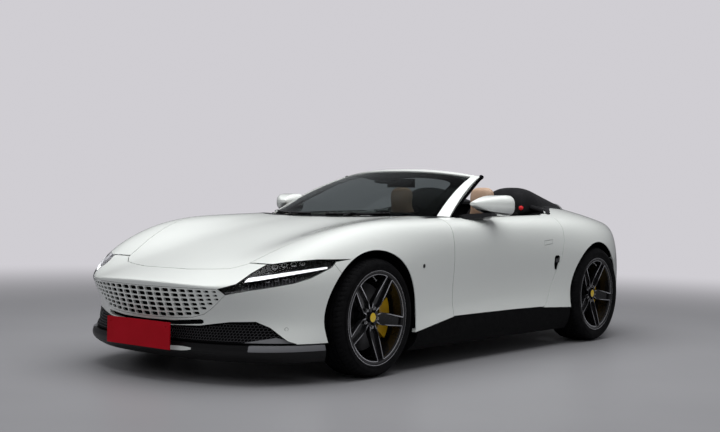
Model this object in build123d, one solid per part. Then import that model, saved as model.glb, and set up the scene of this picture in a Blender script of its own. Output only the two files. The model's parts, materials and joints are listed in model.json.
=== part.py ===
from build123d import *

import math
import os

import numpy as np

# ---------------------------------------------------------------------------
# Open-top two-door grand tourer, front engine, rear drive.
# Frame: +X is the car's left, -Y the way it drives, +Z up; the origin is on
# the floor under the middle of the car.  All sizes in millimetres.
# ---------------------------------------------------------------------------

# ---- overall sizes --------------------------------------------------------
WHEELBASE = 2670.0
FRONT_OVERHANG = 955.0
REAR_OVERHANG = 1031.0
WIDTH = 1974.0
CLEARANCE = 120.0  # floor to the flat underside
HEADER_HEIGHT = 1252.0  # top of the windscreen frame

WALL = 22.0  # body panels with their inner frames
GAP = 5.0  # shut lines between body panels
FLOOR = 60.0  # thickness of the floor pan
LIFT = 5.5  # room between a moving panel and the body under it
GRILLE_WALL = 7.0
LAMP_COVER = 4.0
LAMP_DEPTH = 14.0  # from the skin down to the lamps' trays
INTAKE_DEPTH = 12.0  # the lower grille lies this far behind the bumper's skin
DOOR_LAND = 32.0  # how far the door's inner box stands in from its outer edge
APERTURE_LAND = 14.0  # how far the body's edge stands in from the door's outer edge
CABIN_HALF = 785.0  # half width between the doors' inner faces
SILL_TOP = 330.0
TRACK_FRONT = 1652.0
TRACK_REAR = 1679.0
TYRE_FRONT = (340.0, 245.0)  # radius, width
TYRE_REAR = (354.0, 285.0)
ARCH_FRONT = 386.0  # radius of the front wheel opening
ARCH_REAR = 392.0
HOUSE_ROOM = 22.0  # the front wheel houses are wider than their openings, so that the wheels can steer
RIM_EDGE = 264.0  # radius of the wheels' rim flange
DISC_FRONT = 195.0
DISC_REAR = 180.0
SEAT_X = 370.0
STEER_TILT = 24.0  # the steering column's slope
LEAN_BONNET = 0.227  # the bonnet's front edge moves forwards by this share of its first rise
LEAN_LID = -0.184  # the boot lid's rear edge moves backwards

LENGTH = FRONT_OVERHANG + WHEELBASE + REAR_OVERHANG
Y_NOSE = -LENGTH / 2
Y_FRONT = Y_NOSE + FRONT_OVERHANG  # front axle
Y_REAR = Y_FRONT + WHEELBASE  # rear axle
Y_TAIL = Y_REAR + REAR_OVERHANG

# ---- body surface ---------------------------------------------------------
# The skin is one net of lines that run round the car like a hull's waterlines,
# from the nose to the tail.  Frames cross them at these places along the car.
FRAMES = [
    Y_NOSE,          # 0 nose, on the centreline
    Y_NOSE + 12,     # 1 nose quarter
    Y_NOSE + 130,    # 2 nose corner
    Y_NOSE + 440,    # 3 ahead of the front wheel
    Y_FRONT,         # 4 front axle
    Y_FRONT + 520,   # 5 behind the front wheel
    Y_FRONT + 1230,  # 6 middle of the door
    Y_REAR - 620,    # 7 door's rear edge
    Y_REAR,          # 8 rear axle
    Y_REAR + 480,    # 9 behind the rear wheel
    Y_TAIL - 180,    # 10 tail corner
    Y_TAIL - 22,     # 11 tail quarter
    Y_TAIL,          # 12 tail, on the centreline
]
# (half width, step along the car from the frame, height) at each frame,
# from the underside up over the wings to the middle of the cockpit.
LINES = {
    "underside": [(0, 130, 120), (330, 125, 120), (630, 115, 120), (830, 0, 120), (900, 0, 120), (885, 0, 120),
                  (885, 0, 120), (895, 0, 120), (925, 0, 120), (870, 0, 120), (640, -90, 120), (330, -120, 120), (0, -125, 120)],
    "lip": [(0, 30, 170), (345, 28, 170), (690, 18, 175), (890, 0, 190), (962, 0, 190), (945, 0, 175),
            (945, 0, 180), (950, 0, 195), (985, 0, 230), (925, 0, 240), (700, -45, 250), (340, -70, 250), (0, -75, 250)],
    "tuck": [(0, 90, 290), (305, 92, 290), (595, 100, 300), (855, 0, 320), (962, 0, 330), (900, 0, 325),
             (888, 0, 340), (900, 0, 365), (998, 0, 400), (925, 0, 400), (705, -25, 400), (345, -45, 400), (0, -50, 400)],
    "waist": [(0, 45, 400), (310, 48, 400), (610, 72, 405), (862, 0, 440), (975, 0, 480), (903, 0, 470),
              (888, 0, 490), (908, 0, 520), (1012, 0, 540), (925, 0, 530), (705, -8, 540), (345, -15, 540), (0, -18, 540)],
    "flank": [(0, 4, 522), (325, 4, 519), (632, 20, 500), (865, 0, 545), (975, 0, 600), (922, 0, 610),
              (912, 0, 630), (935, 0, 650), (1014, 0, 655), (915, 0, 660), (690, 0, 680), (340, 0, 690), (0, 0, 692)],
    "edge": [(0, 0, 540), (320, 0, 537), (622, 14, 517), (852, 0, 620), (962, 0, 690), (930, 0, 715),
             (920, 0, 735), (938, 0, 755), (1000, 0, 755), (890, 0, 780), (662, 0, 820), (325, 0, 840), (0, 0, 843)],
    "shoulder": [(0, 8, 548), (306, 10, 545), (598, 32, 530), (820, 0, 695), (920, 0, 790), (922, 0, 815),
                 (915, 0, 830), (930, 0, 850), (960, 0, 850), (820, 0, 870), (620, 8, 880), (305, 8, 888), (0, 10, 890)],
    "crest": [(0, 95, 580), (270, 105, 578), (530, 140, 592), (750, 40, 738), (840, 0, 900), (880, 0, 892),
              (872, 0, 905), (880, 0, 920), (870, 0, 930), (720, 0, 915), (525, -35, 905), (265, -40, 903), (0, -42, 903)],
    "valley": [(0, 398, 664), (200, 390, 664), (400, 320, 682), (570, 170, 775), (650, 40, 878), (710, 30, 918),
               (735, 0, 932), (735, -60, 962), (670, -100, 1005), (520, -120, 985), (350, -250, 950), (180, -320, 940), (0, -330, 938)],
    "inner": [(0, 828, 778), (150, 820, 778), (310, 750, 788), (440, 570, 830), (500, 290, 872), (540, 170, 925),
              (550, 0, 938), (545, -250, 978), (490, -350, 1035), (400, -480, 1055), (270, -630, 1035), (135, -700, 1026), (0, -710, 1022)],
    "hood": [(0, 1328, 888), (110, 1320, 888), (215, 1240, 892), (300, 1030, 905), (330, 670, 925), (350, 400, 942),
             (360, 0, 950), (360, -420, 970), (330, -700, 1012), (280, -880, 1042), (190, -1070, 1058), (95, -1160, 1060), (0, -1180, 1060)],
    "centre": [(0, 1878, 950), (0, 1870, 950), (0, 1755, 950), (0, 1468, 952), (0, 1020, 955), (0, 640, 958),
               (0, 80, 960), (0, -560, 970), (0, -1020, 980), (0, -1377, 990), (0, -1708, 990), (0, -1856, 990), (0, -1878, 990)],
}


def bspline(ctrl, count):
    """Points at even steps along a uniform cubic B-spline, from the second control point to the last but one."""
    ctrl = np.asarray(ctrl, float)
    spans = len(ctrl) - 3
    out = []
    for t in np.linspace(0, spans, count):
        k = min(int(t), spans - 1)
        s = t - k
        w = np.array([(1 - s) ** 3, 3 * s**3 - 6 * s**2 + 4, -3 * s**3 + 3 * s**2 + 3 * s + 1, s**3]) / 6
        out.append(w @ ctrl[k : k + 4])
    return np.array(out)


def net_of(lines):
    """The control net, [line][frame][xyz], with one mirrored frame past the centreline at each end."""
    rows = []
    for line in lines.values():
        row = np.array([(x, frame + step, z) for (x, step, z), frame in zip(line, FRAMES)], float)
        past = row[[1, -2]] * (-1, 1, 1)
        rows.append(np.vstack([past[:1], row, past[1:]]))
    below = 2 * rows[0] - rows[1]
    above = rows[-2] * (-1, 1, 1)
    return np.array([below, *rows, above])


def grid_of(net, n_along=97, n_up=49):
    """Points on the left half of the skin that a net makes, [up][along][xyz]."""
    rows = np.array([bspline(row, n_along) for row in net])
    return np.array([bspline(rows[:, j], n_up) for j in range(n_along)]).transpose(1, 0, 2)


def fitted(grid):
    """The same points, brought to the overall length and width."""
    grid = grid.copy()
    grid[:, :, 0] *= (WIDTH / 2) / grid[:, :, 0].max()
    low, high = grid[:, :, 1].min(), grid[:, :, 1].max()
    grid[:, :, 1] = Y_NOSE + (grid[:, :, 1] - low) * LENGTH / (high - low)
    return grid


def inset_net(net, depth, sharp):
    """A net that lies inside another by a depth, with or without the two lines that make the sharp shoulder."""
    left_out = () if sharp else ("edge", "shoulder")
    names = ["below", *LINES, "above"]
    kept = net[[i for i, name in enumerate(names) if name not in left_out]]
    along = np.gradient(kept, axis=1)
    up = np.gradient(kept, axis=0)
    normal = np.cross(up, along)
    normal[:2] = normal[2] * (1, 1, 0)
    normal[-2:] = (0, 0, -1)
    normal /= np.linalg.norm(normal, axis=2, keepdims=True)
    kept = kept + depth * normal
    kept[:, [1, -2], 0] = 0
    kept[:, 0] = kept[:, 2] * (-1, 1, 1)
    kept[:, -1] = kept[:, -3] * (-1, 1, 1)
    kept[-2, :, 0] = 0
    kept[-1] = kept[-3] * (-1, 1, 1)
    kept[0] = 2 * kept[1] - kept[2]
    return kept




# ---- shapes from outlines -------------------------------------------------
def along(station, *points):
    """An outline seen from the side, (y, z), with y measured from a place along the car."""
    return [(station + y, z) for y, z in points]


def above(station, *points):
    """An outline seen from above, (x, y), with y measured from a place along the car."""
    return [(x, station + y) for x, y in points]


def side(points, near=0.0, far=1200.0):
    """A block with an outline (y, z), from one distance off the centreline to another."""
    return extrude(Plane.YZ.offset(near) * make_face(Polyline(*points, close=True)), far - near)


def plan(points, low=0.0, high=1600.0):
    """A block with an outline (x, y), between two heights."""
    return extrude(Plane.XY.offset(low) * make_face(Polyline(*points, close=True)), high - low)


def ahead(points, y_from, y_to):
    """A block with an outline (x, z), between two places along the car."""
    return extrude(Plane.XZ.offset(-y_to) * make_face(Polyline(*points, close=True)), y_to - y_from)


def skin_height(x, y):
    """How high the upper body's skin is at a place, from the nearest of its points."""
    points = fitted_grid.reshape(-1, 3)
    points = points[points[:, 2] > 500]
    return points[np.hypot(points[:, 0] - x, points[:, 1] - y).argmin(), 2]


def leaning(points, low, lean, high=1600.0):
    """A block with an outline (x, y) on the skin, whose walls lean forwards as they rise."""
    foot = [(x, y + lean * (skin_height(x, y) - low)) for x, y in points]
    face = Plane.XY.offset(low) * make_face(Polyline(*foot, close=True))
    return Solid.extrude(face.face(), Vector(0, -lean, 1) * (high - low))


def grown(points, by):
    """An outline with every edge moved outwards, or inwards by a negative distance."""
    shape = offset(make_face(Polyline(*points, close=True)), by, kind=Kind.INTERSECTION)
    return [(v.X, v.Y) for v in (e @ 0 for e in shape.face().outer_wire().order_edges())]


def across(points):
    """An outline of a left half that is carried past the centreline, so that both halves overlap there."""
    return [(-40.0 if x == 0 else x, y) for x, y in points]


def block(x, y, z):
    """A box between pairs of limits."""
    size = (x[1] - x[0], y[1] - y[0], z[1] - z[0])
    return Pos((x[0] + x[1]) / 2, (y[0] + y[1]) / 2, (z[0] + z[1]) / 2) * Box(*size)


def drum(x, y, z, radius):
    """A cylinder across the car."""
    return Pos((x[0] + x[1]) / 2, y, z) * Rot(0, 90, 0) * Cylinder(radius, x[1] - x[0])


def other_side(piece):
    return mirror(piece, Plane.YZ)


def both(piece):
    """A left half and its mirror image, joined where they meet on the centreline."""
    return piece + other_side(piece)


def pair(piece):
    """A left piece and its mirror image, which do not touch."""
    return Compound(children=list(piece.solids()) + list(other_side(piece).solids()))


def half_body(grid):
    """The closed left half of a body: its skin, its flat underside and the plane down its middle."""
    skin_face = Face.make_surface_from_array_of_points([[Vector(*p) for p in row] for row in grid], tol=0.5, min_deg=3)
    edges = skin_face.edges()
    flat_bottom = [e for e in edges if e.bounding_box().max.X > 1]
    middle = [e for e in edges if e.bounding_box().max.X <= 1]
    low = Edge.make_line(flat_bottom[0] @ 0, flat_bottom[0] @ 1)
    bottom = Face(Wire(flat_bottom + [low]))
    centre = Face(Wire(middle + [low]))
    return Solid(Shell([skin_face, bottom, centre]))


# ---- where the panels meet ------------------------------------------------
Y_COWL = Y_FRONT + 523  # bonnet's rear edge on the centreline
Y_SCREEN = Y_FRONT + 573  # foot of the windscreen on the centreline
Y_HEADER = Y_SCREEN + 895  # front of the windscreen's header
Y_DOOR = Y_FRONT + 798  # door's front edge at mid-height
Y_COCKPIT = Y_REAR - 337  # back of the open cockpit
Y_LID = Y_REAR + 468  # boot lid's front edge
Y_BULKHEAD = Y_FRONT + 415  # between the engine bay and the cabin
Y_AFT = Y_REAR - 277  # between the cabin and the rear structure

BONNET = (above(Y_NOSE, (0, 186), (180, 196), (300, 232), (430, 282), (498, 343), (530, 438))
          + above(Y_FRONT, (585, -363), (669, -132), (722, 56), (745, 223), (752, 473), (745, 733), (700, 718),
                  (600, 628), (400, 553), (200, 531), (0, 523)))
COCKPIT = (above(Y_SCREEN, (0, 0), (300, 15), (585, 93), (700, 200), (CABIN_HALF, 370))
           + above(Y_COCKPIT, (CABIN_HALF, -160), (700, -30), (560, 0), (0, 0)))
TONNEAU = (above(Y_COCKPIT, (0, 0), (560, 0), (640, 40))
           + above(Y_LID - GAP, (650, -460), (560, -120), (440, 0), (0, 0)))
COWL = above(Y_COWL, (0, -50), (600, -50), (790, 130), (790, 430), (0, 430))
BOOT_LID = (above(Y_LID, (0, 0), (440, 0), (545, 35))
            + above(Y_TAIL, (600, -328), (590, -148), (520, -66), (300, -28), (0, -18)))
DOOR = (along(Y_DOOR, (12, 300), (0, 578), (-20, 769), (-26, 1100))
        + along(Y_REAR, (-492, 1100), (-497, 900), (-509, 760), (-537, 650), (-585, 552), (-619, 477), (-697, 330),
                (-737, 296))
        + along(Y_DOOR, (775, 300)))
HANDLE = along(Y_REAR, (-770, 730), (-664, 741), (-664, 766), (-770, 757))
LAMP = [(433, 516), (532, 545), (614, 601), (692, 644), (809, 664), (969, 678), (1172, 678),
        (1077, 663), (1051, 632), (935, 577), (839, 548), (730, 529), (599, 508), (476, 483)]
LIGHT_BAR = [(575, 557), (640, 566), (1062, 634), (1068, 641), (1000, 636), (800, 610), (598, 578)]
TAIL_LAMP = [(500, 772), (820, 790), (830, 832), (790, 838), (500, 830), (480, 800)]
GRILLE = [(0, 513), (288, 516), (505, 515), (541, 482), (492, 438), (450, 404), (405, 374), (330, 352), (234, 345),
          (0, 336)]
NOSE_SLOT = [(0, 325), (200, 329), (378, 345), (391, 341), (393, 328), (382, 320), (200, 305), (0, 301)]
INTAKE = [(0, 292), (371, 311), (528, 337), (649, 343), (712, 312), (790, 244), (819, 228), (819, 222), (0, 222)]
BUMPER = (along(Y_FRONT, (-127, 226), (-127, 600), (-294, 600), (-327, 645))
          + along(Y_NOSE, (343, 645), (343, 1000), (-172, 1000), (-172, 226)))
WING = (along(Y_FRONT, (-127, 226), (313, 226))
        + along(Y_DOOR - GAP, (12, 296), (0, 578), (-20, 769), (-26, 1100))
        + along(Y_NOSE, (-172, 1100), (-172, 1000), (343 + GAP, 1000), (343 + GAP, 645 + GAP))
        + along(Y_FRONT, (-327, 645 + GAP), (-294 + GAP, 600)))
QUARTER = (along(Y_REAR, (-697 + GAP, 325), (-737, 290), (-397, 275), (0, 275), (403, 300))
           + along(Y_TAIL, (-378, 380), (-378, 1200))
           + along(Y_REAR + GAP, (-492, 1200), (-497, 900), (-509, 760), (-537, 650), (-585, 552), (-619, 477)))
REAR_BUMPER = along(Y_TAIL, (-378 + GAP, 380), (-378 + GAP, 1200), (172, 1200), (172, 380))
SKIRT = (along(Y_FRONT, (273, 100), (313, 226 - GAP)) + along(Y_DOOR, (12, 296 - GAP), (775, 300 - GAP))
         + along(Y_REAR, (-737, 290 - GAP), (-397, 275 - GAP), (-397, 100)))
DIFFUSER = (along(Y_REAR, (363, 100), (403, 300 - GAP))
            + along(Y_TAIL, (-378, 380 - GAP), (172, 380 - GAP), (172, 100)))
SPLITTER = along(Y_NOSE, (-172, 100), (-172, 222 - GAP)) + along(Y_FRONT, (-127, 222 - GAP), (-127, 100))


def lamp_block(points):
    """A block whose outline is drawn on an upright plane turned half-way between the car's front and its side."""
    facing = Plane(origin=(0, Y_NOSE, 0), x_dir=(1, 1, 0), z_dir=(1, -1, 0))
    return extrude(facing.offset(-400) * make_face(Polyline(*points, close=True)), 1200)


def bonnet_block(by):
    """The bonnet's region, or the same grown by a gap, with its front edge leaning along the way it opens."""
    outline = grown(BONNET, by)
    middle = Y_FRONT + 300
    front = leaning(outline, 500, LEAN_BONNET) & block((-60, 900), (Y_NOSE - 100, middle), (500, 1400))
    return front + (plan(outline, 560) & block((-60, 900), (middle, Y_FRONT + 900), (560, 1400)))


def lid_block(by):
    """The boot lid's region, or the same grown by a gap, with its rear edge leaning along the way it opens."""
    outline = grown(BOOT_LID, by)
    middle = Y_TAIL - 280
    rear = leaning(outline, 700, LEAN_LID) & block((-60, 900), (middle, Y_TAIL + 200), (852 - by, 1400))
    return rear + (plan(outline, 852 - by) & block((-60, 900), (Y_LID - 60, middle), (852 - by, 1400)))


# ---- skins ----------------------------------------------------------------
net = net_of(LINES)
fitted_grid = fitted(grid_of(net))
outer = half_body(fitted_grid)


def inside(depth, sharp=False):
    """The left half of the body, smaller all round by a depth."""
    return half_body(grid_of(inset_net(net, depth, sharp)))


inner = inside(WALL)
skin = outer - inner
thin_skin = outer - inside(WALL - LIFT)
arches = (drum((500, 1200), Y_FRONT - 10, TYRE_FRONT[0], ARCH_FRONT)
          + drum((500, 1200), Y_REAR, TYRE_REAR[0], ARCH_REAR))
houses = (drum((500, 1200), Y_FRONT - 10, TYRE_FRONT[0], ARCH_FRONT + HOUSE_ROOM)
          + drum((500, 1200), Y_REAR, TYRE_REAR[0], ARCH_REAR + 10))
cockpit = plan(COCKPIT, CLEARANCE + FLOOR)
open_skin = skin - arches - cockpit
bonnet_hole = bonnet_block(GAP)
lid_hole = lid_block(GAP)
lamp_cut = lamp_block(LAMP)
grille_cut = ahead(across(GRILLE), Y_NOSE - 172, Y_NOSE + 328)
intake_cut = ahead(across(INTAKE), Y_NOSE - 172, Y_NOSE + 478)
tail_cut = ahead(TAIL_LAMP, Y_TAIL - 338, Y_TAIL + 172)
parts = {}


# ---- nose -----------------------------------------------------------------
def grille_slots():
    """Rows of rounded slots that grow smaller and rise towards the panel's outer end."""
    columns = [0, 64, 128, 191, 252, 308, 359, 407, 450, 491]
    last_in_row = [9, 9, 9, 8, 7, 6]
    slots = Sketch()
    for row, last in enumerate(last_in_row):
        for x in columns[: last + 1]:
            share = (x / columns[-1]) ** 2
            width, height = 56 - 33 * share, 20.5 - 10 * share
            rise = (3 + 7.4 * row) * share
            slots += Pos(x, 497 - 28 * row + rise) * RectangleRounded(width, height, height * 0.42)
    return slots


slot_block = extrude(Plane.XZ.offset(-Y_NOSE - 328) * grille_slots(), 500)
grille = ((outer - inside(GRILLE_WALL, True)) & ahead(grown(across(GRILLE), -2), Y_NOSE - 172, Y_NOSE + 328)) - lamp_cut
parts["grille"] = both(grille) - slot_block - other_side(slot_block)
intake = (inside(INTAKE_DEPTH) - inner) & ahead(grown(across(INTAKE), -2), Y_NOSE - 172, Y_NOSE + 478)
parts["intake"] = both(intake)
bumper = (open_skin & side(BUMPER)) - bonnet_hole - lamp_cut - grille_cut - intake_cut
parts["front_bumper"] = both(bumper - ahead(across(NOSE_SLOT), Y_NOSE - 172, Y_NOSE + 328))
splitter = (outer & side(SPLITTER)) - houses - block((-1, 560), (Y_NOSE + 338, Y_FRONT - 127), (0, 400))
parts["front_splitter"] = both(splitter)
parts["bonnet"] = both((thin_skin & bonnet_block(0)) - cockpit)
wing = (open_skin & side(WING)) - bonnet_hole - lamp_cut - plan(grown(COWL, 2), 700)
parts["wing_left"] = wing
parts["cowl"] = both((open_skin & plan(across(COWL), 700)) - bonnet_hole)

lamp_region = lamp_block(grown(LAMP, -1.5))
parts["headlamp_covers"] = pair((outer - inside(LAMP_COVER, True)) & lamp_region)
light_bar = (inside(LAMP_COVER + 3, True) - inner) & lamp_block(LIGHT_BAR) & lamp_region
parts["headlamps"] = pair(((inside(LAMP_DEPTH) - inner) & lamp_region) + light_bar)

# ---- tail -----------------------------------------------------------------
quarter = (open_skin & side(QUARTER)) - plan(grown(across(TONNEAU), GAP), 800) - lid_hole - tail_cut
parts["rear_quarter_left"] = quarter
parts["rear_bumper"] = both((open_skin & side(REAR_BUMPER)) - lid_hole - tail_cut)
parts["tail_lamps"] = pair(skin & ahead(grown(TAIL_LAMP, -1.5), Y_TAIL - 338, Y_TAIL + 172))
parts["tonneau_cover"] = both(open_skin & plan(across(TONNEAU), 800))
parts["boot_lid"] = both(thin_skin & lid_block(0))
parts["side_skirts"] = pair((outer & side(SKIRT, 700)) - houses)

TIPS = (470.0, 590.0)  # exhaust pipes' places off the centreline
TIP_RADIUS = 46.0
TIP_HEIGHT = 330.0
Y_TIPS = Y_TAIL - 250  # middle of the exhaust pipes' length
tunnels = [Pos(x, Y_TIPS, TIP_HEIGHT) * Rot(90, 0, 0) * Cylinder(TIP_RADIUS + 6, 400) for x in TIPS]
diffuser = (outer & side(DIFFUSER)) - arches - block((-1, 700), (Y_REAR + 203, Y_TAIL - 378), (0, 400))
bay = side(along(Y_TAIL, (-330, 90), (-110, 250), (60, 330), (60, 90)), 0, 400)
fins = [side(along(Y_TAIL, (-330, 121), (-95, 121), (-62, 300), (-330, 300)), x - 5, x + 5) for x in (90, 210, 330)]
parts["rear_diffuser"] = both(diffuser - bay + [fin & outer for fin in fins] - tunnels)
tips = [Pos(x, Y_TIPS, TIP_HEIGHT) * Rot(90, 0, 0) * (Cylinder(TIP_RADIUS, 160) - Cylinder(TIP_RADIUS - 6, 200))
        for x in TIPS]
parts["exhaust_tips"] = pair(Compound(children=tips))

# ---- doors ----------------------------------------------------------------
# An outer skin over a thick inner box that stands in from its edge.
door = outer & side(DOOR, CABIN_HALF + 5)
door = (door & thin_skin) + (door & side(grown(DOOR, -DOOR_LAND)))
groove = side(grown(HANDLE, 3), CABIN_HALF) - side(HANDLE, CABIN_HALF)
parts["door_left"] = door - (groove & (outer - inside(4)))

# ---- monocoque ------------------------------------------------------------
# Everything inside the skin, with the spaces that people, luggage, engine and wheels need cut out.
core = inner - houses
core -= side(along(Y_SCREEN, (80, 180), (160, 560), (160, 1200)) + along(Y_REAR, (-287, 1200), (-287, 700), (-347, 180)),
             0, CABIN_HALF - 95)
core -= side(along(Y_SCREEN, (400, SILL_TOP), (400, 1200)) + along(Y_REAR, (-525, 1200), (-545, SILL_TOP)), 0, CABIN_HALF)
core -= side(grown(DOOR, -APERTURE_LAND), CABIN_HALF)
core -= plan(above(Y_NOSE, (0, 248), (430, 328), (480, 428)) + above(Y_FRONT, (480, 395), (0, 395)), 260)
core -= plan(above(Y_LID, (0, 85), (480, 85)) + above(Y_TAIL, (520, -148), (0, -98)), 500)
core -= side(SKIRT, 700) + side(SPLITTER) + side(DIFFUSER)
core -= drum((420, 600), Y_REAR, TYRE_REAR[0], 70)
core -= tunnels
core += [Pos(660, y, CLEARANCE - 4) * Cylinder(36, 8) for y in (Y_FRONT + 493, Y_REAR - 497)]
far_ends = block((-1, 1200), (Y_NOSE - 200, Y_BULKHEAD), (0, 1400)), block((-1, 1200), (Y_AFT, Y_TAIL + 200), (0, 1400))
parts["front_structure"] = both(core & far_ends[0])
parts["rear_structure"] = both(core & far_ends[1])
parts["cabin_tub"] = both(core - far_ends[0] - far_ends[1])


# ---- windscreen -----------------------------------------------------------
def screen_point(u, v):
    """A point on the windscreen's outer surface: u across, v from its foot up to the header."""
    share = abs(u)
    foot = np.array([775 * u, Y_SCREEN + 370 * share**2.6, 905 + 8 * u * u])
    head = np.array([606 * u, Y_HEADER + 100 * share**2.2, HEADER_HEIGHT - 52 * share**2.4])
    bulge = np.array([0, -0.35, 0.94]) * 26 * 4 * v * (1 - v)
    return Vector(*(foot + (head - foot) * v + bulge))


def screen_patch(wide, low, high, thick, drop=0.0):
    """A piece of the windscreen's surface, thickened inwards."""
    rows = [[screen_point(u, v) for u in np.linspace(-wide, wide, 25)] for v in np.linspace(low, high, 9)]
    face = Face.make_surface_from_array_of_points(rows, tol=0.2, min_deg=3)
    sheet = Pos(0, 0, -drop) * face
    return Solid.thicken(sheet, -thick if face.normal_at().Z > 0 else thick)


whole = both(outer)
opening = screen_patch(0.925, -0.2, 0.935, 80)
frame = screen_patch(1.0, -0.06, 1.0, 36) - (Pos(0, 0, 20) * opening) - opening - whole
parts["windscreen_frame"] = frame
parts["windscreen"] = screen_patch(0.922, -0.05, 0.932, 5, drop=6) - whole - frame


# ---- wheels ---------------------------------------------------------------
# Each is drawn about the X axis with its outboard side towards +X, as a section (x, radius).
SPOKE_TURN = -26.5  # from upright, seen from outside with the car's front on the left
LIP = 246.0  # inner radius of the wheel's outer ring
SPOKE = [(22, 45), (38, 98), (28, LIP + 6)]  # half width at each radius


def turned(points):
    return revolve(make_face(Polyline(*points, close=True)), Axis.X)


def tyre(radius, width):
    """A carcass with rounded shoulders, open towards the rim."""
    wall = width / 2
    bead = wall - 23
    swell = (RIM_EDGE + radius) / 2
    half = [(bead, 254), (bead, 268), (wall - 6, 282), (wall, swell), (wall - 3, radius - 24),
            (wall - 14, radius - 7), (wall - 34, radius - 1), (wall - 60, radius)]
    cavity = [(wall - 62, radius - 16), (wall - 36, radius - 22), (wall - 16, swell), (bead - 10, 276),
              (bead - 14, 254)]
    return turned(half + [(-x, r) for x, r in reversed(half)] + [(-x, r) for x, r in reversed(cavity)] + cavity)


def star(narrower):
    """Five spokes round the hub, drawn in the wheel's plane, with their edges moved in by a distance."""
    right = [(half - narrower, r) for half, r in SPOKE]
    left = [(-x, r) for x, r in reversed(right)]
    shape = Sketch()
    for k in range(5):
        shape += Rot(0, 0, SPOKE_TURN + 72 * k) * make_face(Polyline((0, 0), *right, *left, close=True))
    return shape


def rim(width):
    """A barrel with five channelled spokes that dish in towards the hub."""
    edge = width / 2 - 16
    barrel = turned([(edge, 250), (edge, RIM_EDGE), (edge - 7, RIM_EDGE), (edge - 7, 254), (7 - edge, 254),
                     (7 - edge, RIM_EDGE), (-edge, RIM_EDGE), (-edge, 243), (edge - 12, 243)])
    dish = turned([(edge - 75, 0), (edge - 75, 60), (edge - 50, 140), (edge - 34, LIP), (edge - 3, LIP),
                   (edge - 14, 190), (edge - 38, 75), (edge - 42, 44), (edge - 42, 0)])
    channel = turned([(edge - 22, LIP + 1), (edge + 20, LIP + 1), (edge + 20, 0), (edge - 54, 0), (edge - 54, 75),
                      (edge - 32, 190)])
    spokes = dish & extrude(Plane.YZ * (star(0) + Circle(58)), 400, both=True)
    spokes -= channel & extrude(Plane.YZ * (star(7) + Circle(40)), 400, both=True)
    cap = Pos(edge - 44, 0, 0) * Rot(0, 90, 0) * Cylinder(30, 22)
    nuts = [Pos(edge - 58, 57 * math.cos(a), 57 * math.sin(a)) * Rot(0, 90, 0) * Cylinder(9, 22)
            for a in (math.radians(36 - SPOKE_TURN + 72 * k) for k in range(5))]
    return barrel + spokes + cap + nuts


def disc(radius, face):
    """A brake disc on its bell, whose front face bolts to the wheel at a distance out from the wheel's middle."""
    ring = turned([(-36, radius * 0.6), (-36, radius), (-4, radius), (-4, radius * 0.6)])
    bell = turned([(-12, radius * 0.6 + 2), (-4, radius * 0.6 + 2), (-4, 82), (face, 78), (face, 0), (face - 12, 0),
                   (face - 12, 70), (-12, 74)])
    hub = turned([(-40, 0), (-40, 34), (face - 10, 34), (face - 10, 0)])
    return ring + bell + hub


def caliper(radius, angle):
    """A six-piston caliper that straddles the disc's edge at an angle round the axle."""
    ring = turned([(-62, radius * 0.66), (-62, radius + 26), (22, radius + 26), (22, radius * 0.66),
                   (2, radius * 0.66), (2, radius + 6), (-42, radius + 6), (-42, radius * 0.66)])
    wedge = make_face(Polyline((0, 0), (-radius, radius * 1.6), (radius, radius * 1.6), close=True))
    return ring & (Rot(-angle, 0, 0) * extrude(Plane.YZ * wedge, 400, both=True))


# ---- running gear ---------------------------------------------------------
HUBS = {"front": (TRACK_FRONT / 2, Y_FRONT, TYRE_FRONT[0]), "rear": (TRACK_REAR / 2, Y_REAR, TYRE_REAR[0])}
STEER_INSET = 75.0  # the steering axis lies this far inboard of the wheel's middle
EAR = 158.0  # height of the ball joints above and below the axle
CALIPER_ANGLE = 95.0


def put(name, piece, hub):
    left = Pos(*HUBS[hub]) * piece
    parts[f"{name}_left"] = left
    parts[f"{name}_right"] = other_side(left)


def disc_face(wheel_width):
    """Where the rim's back face is, out from the wheel's middle."""
    return wheel_width / 2 - 16 - 75


put("tyre_front", tyre(*TYRE_FRONT), "front")
put("tyre_rear", tyre(*TYRE_REAR), "rear")
put("rim_front", rim(TYRE_FRONT[1]), "front")
put("rim_rear", rim(TYRE_REAR[1]), "rear")
put("disc_front", disc(DISC_FRONT, disc_face(TYRE_FRONT[1])), "front")
shaft = turned([(-400, 0), (-400, 42), (-350, 42), (-335, 16), (-190, 16), (-175, 42), (-130, 42), (-115, 34),
                (-30, 34), (-30, 0)])
put("disc_rear", disc(DISC_REAR, disc_face(TYRE_REAR[1])) + shaft, "rear")
put("caliper_front", caliper(DISC_FRONT, CALIPER_ANGLE), "front")
parts["calipers_rear"] = pair(Pos(*HUBS["rear"]) * caliper(DISC_REAR, CALIPER_ANGLE))


def knuckle(disc_radius):
    """An upright round the hub, with an ear above and below for the ball joints and a bracket for the caliper."""
    ring = turned([(-112, 44), (-112, 64), (-62, 64), (-62, 44)])
    web = Pos(-88, 0, 0) * Box(36, 70, 2 * EAR - 20) - drum((-200, 200), 0, 0, 44)
    bracket = turned([(-78, 60), (-78, disc_radius + 4), (-62, disc_radius + 4), (-62, 60)])
    bracket &= Rot(-CALIPER_ANGLE, 0, 0) * (Pos(0, 0, 150) * Box(400, 150, 300))
    ears = [Pos(-STEER_INSET - 4, 0, way * (EAR - 16)) * Box(54, 48, 20) for way in (-1, 1)]
    return ring + web + bracket + ears


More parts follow.
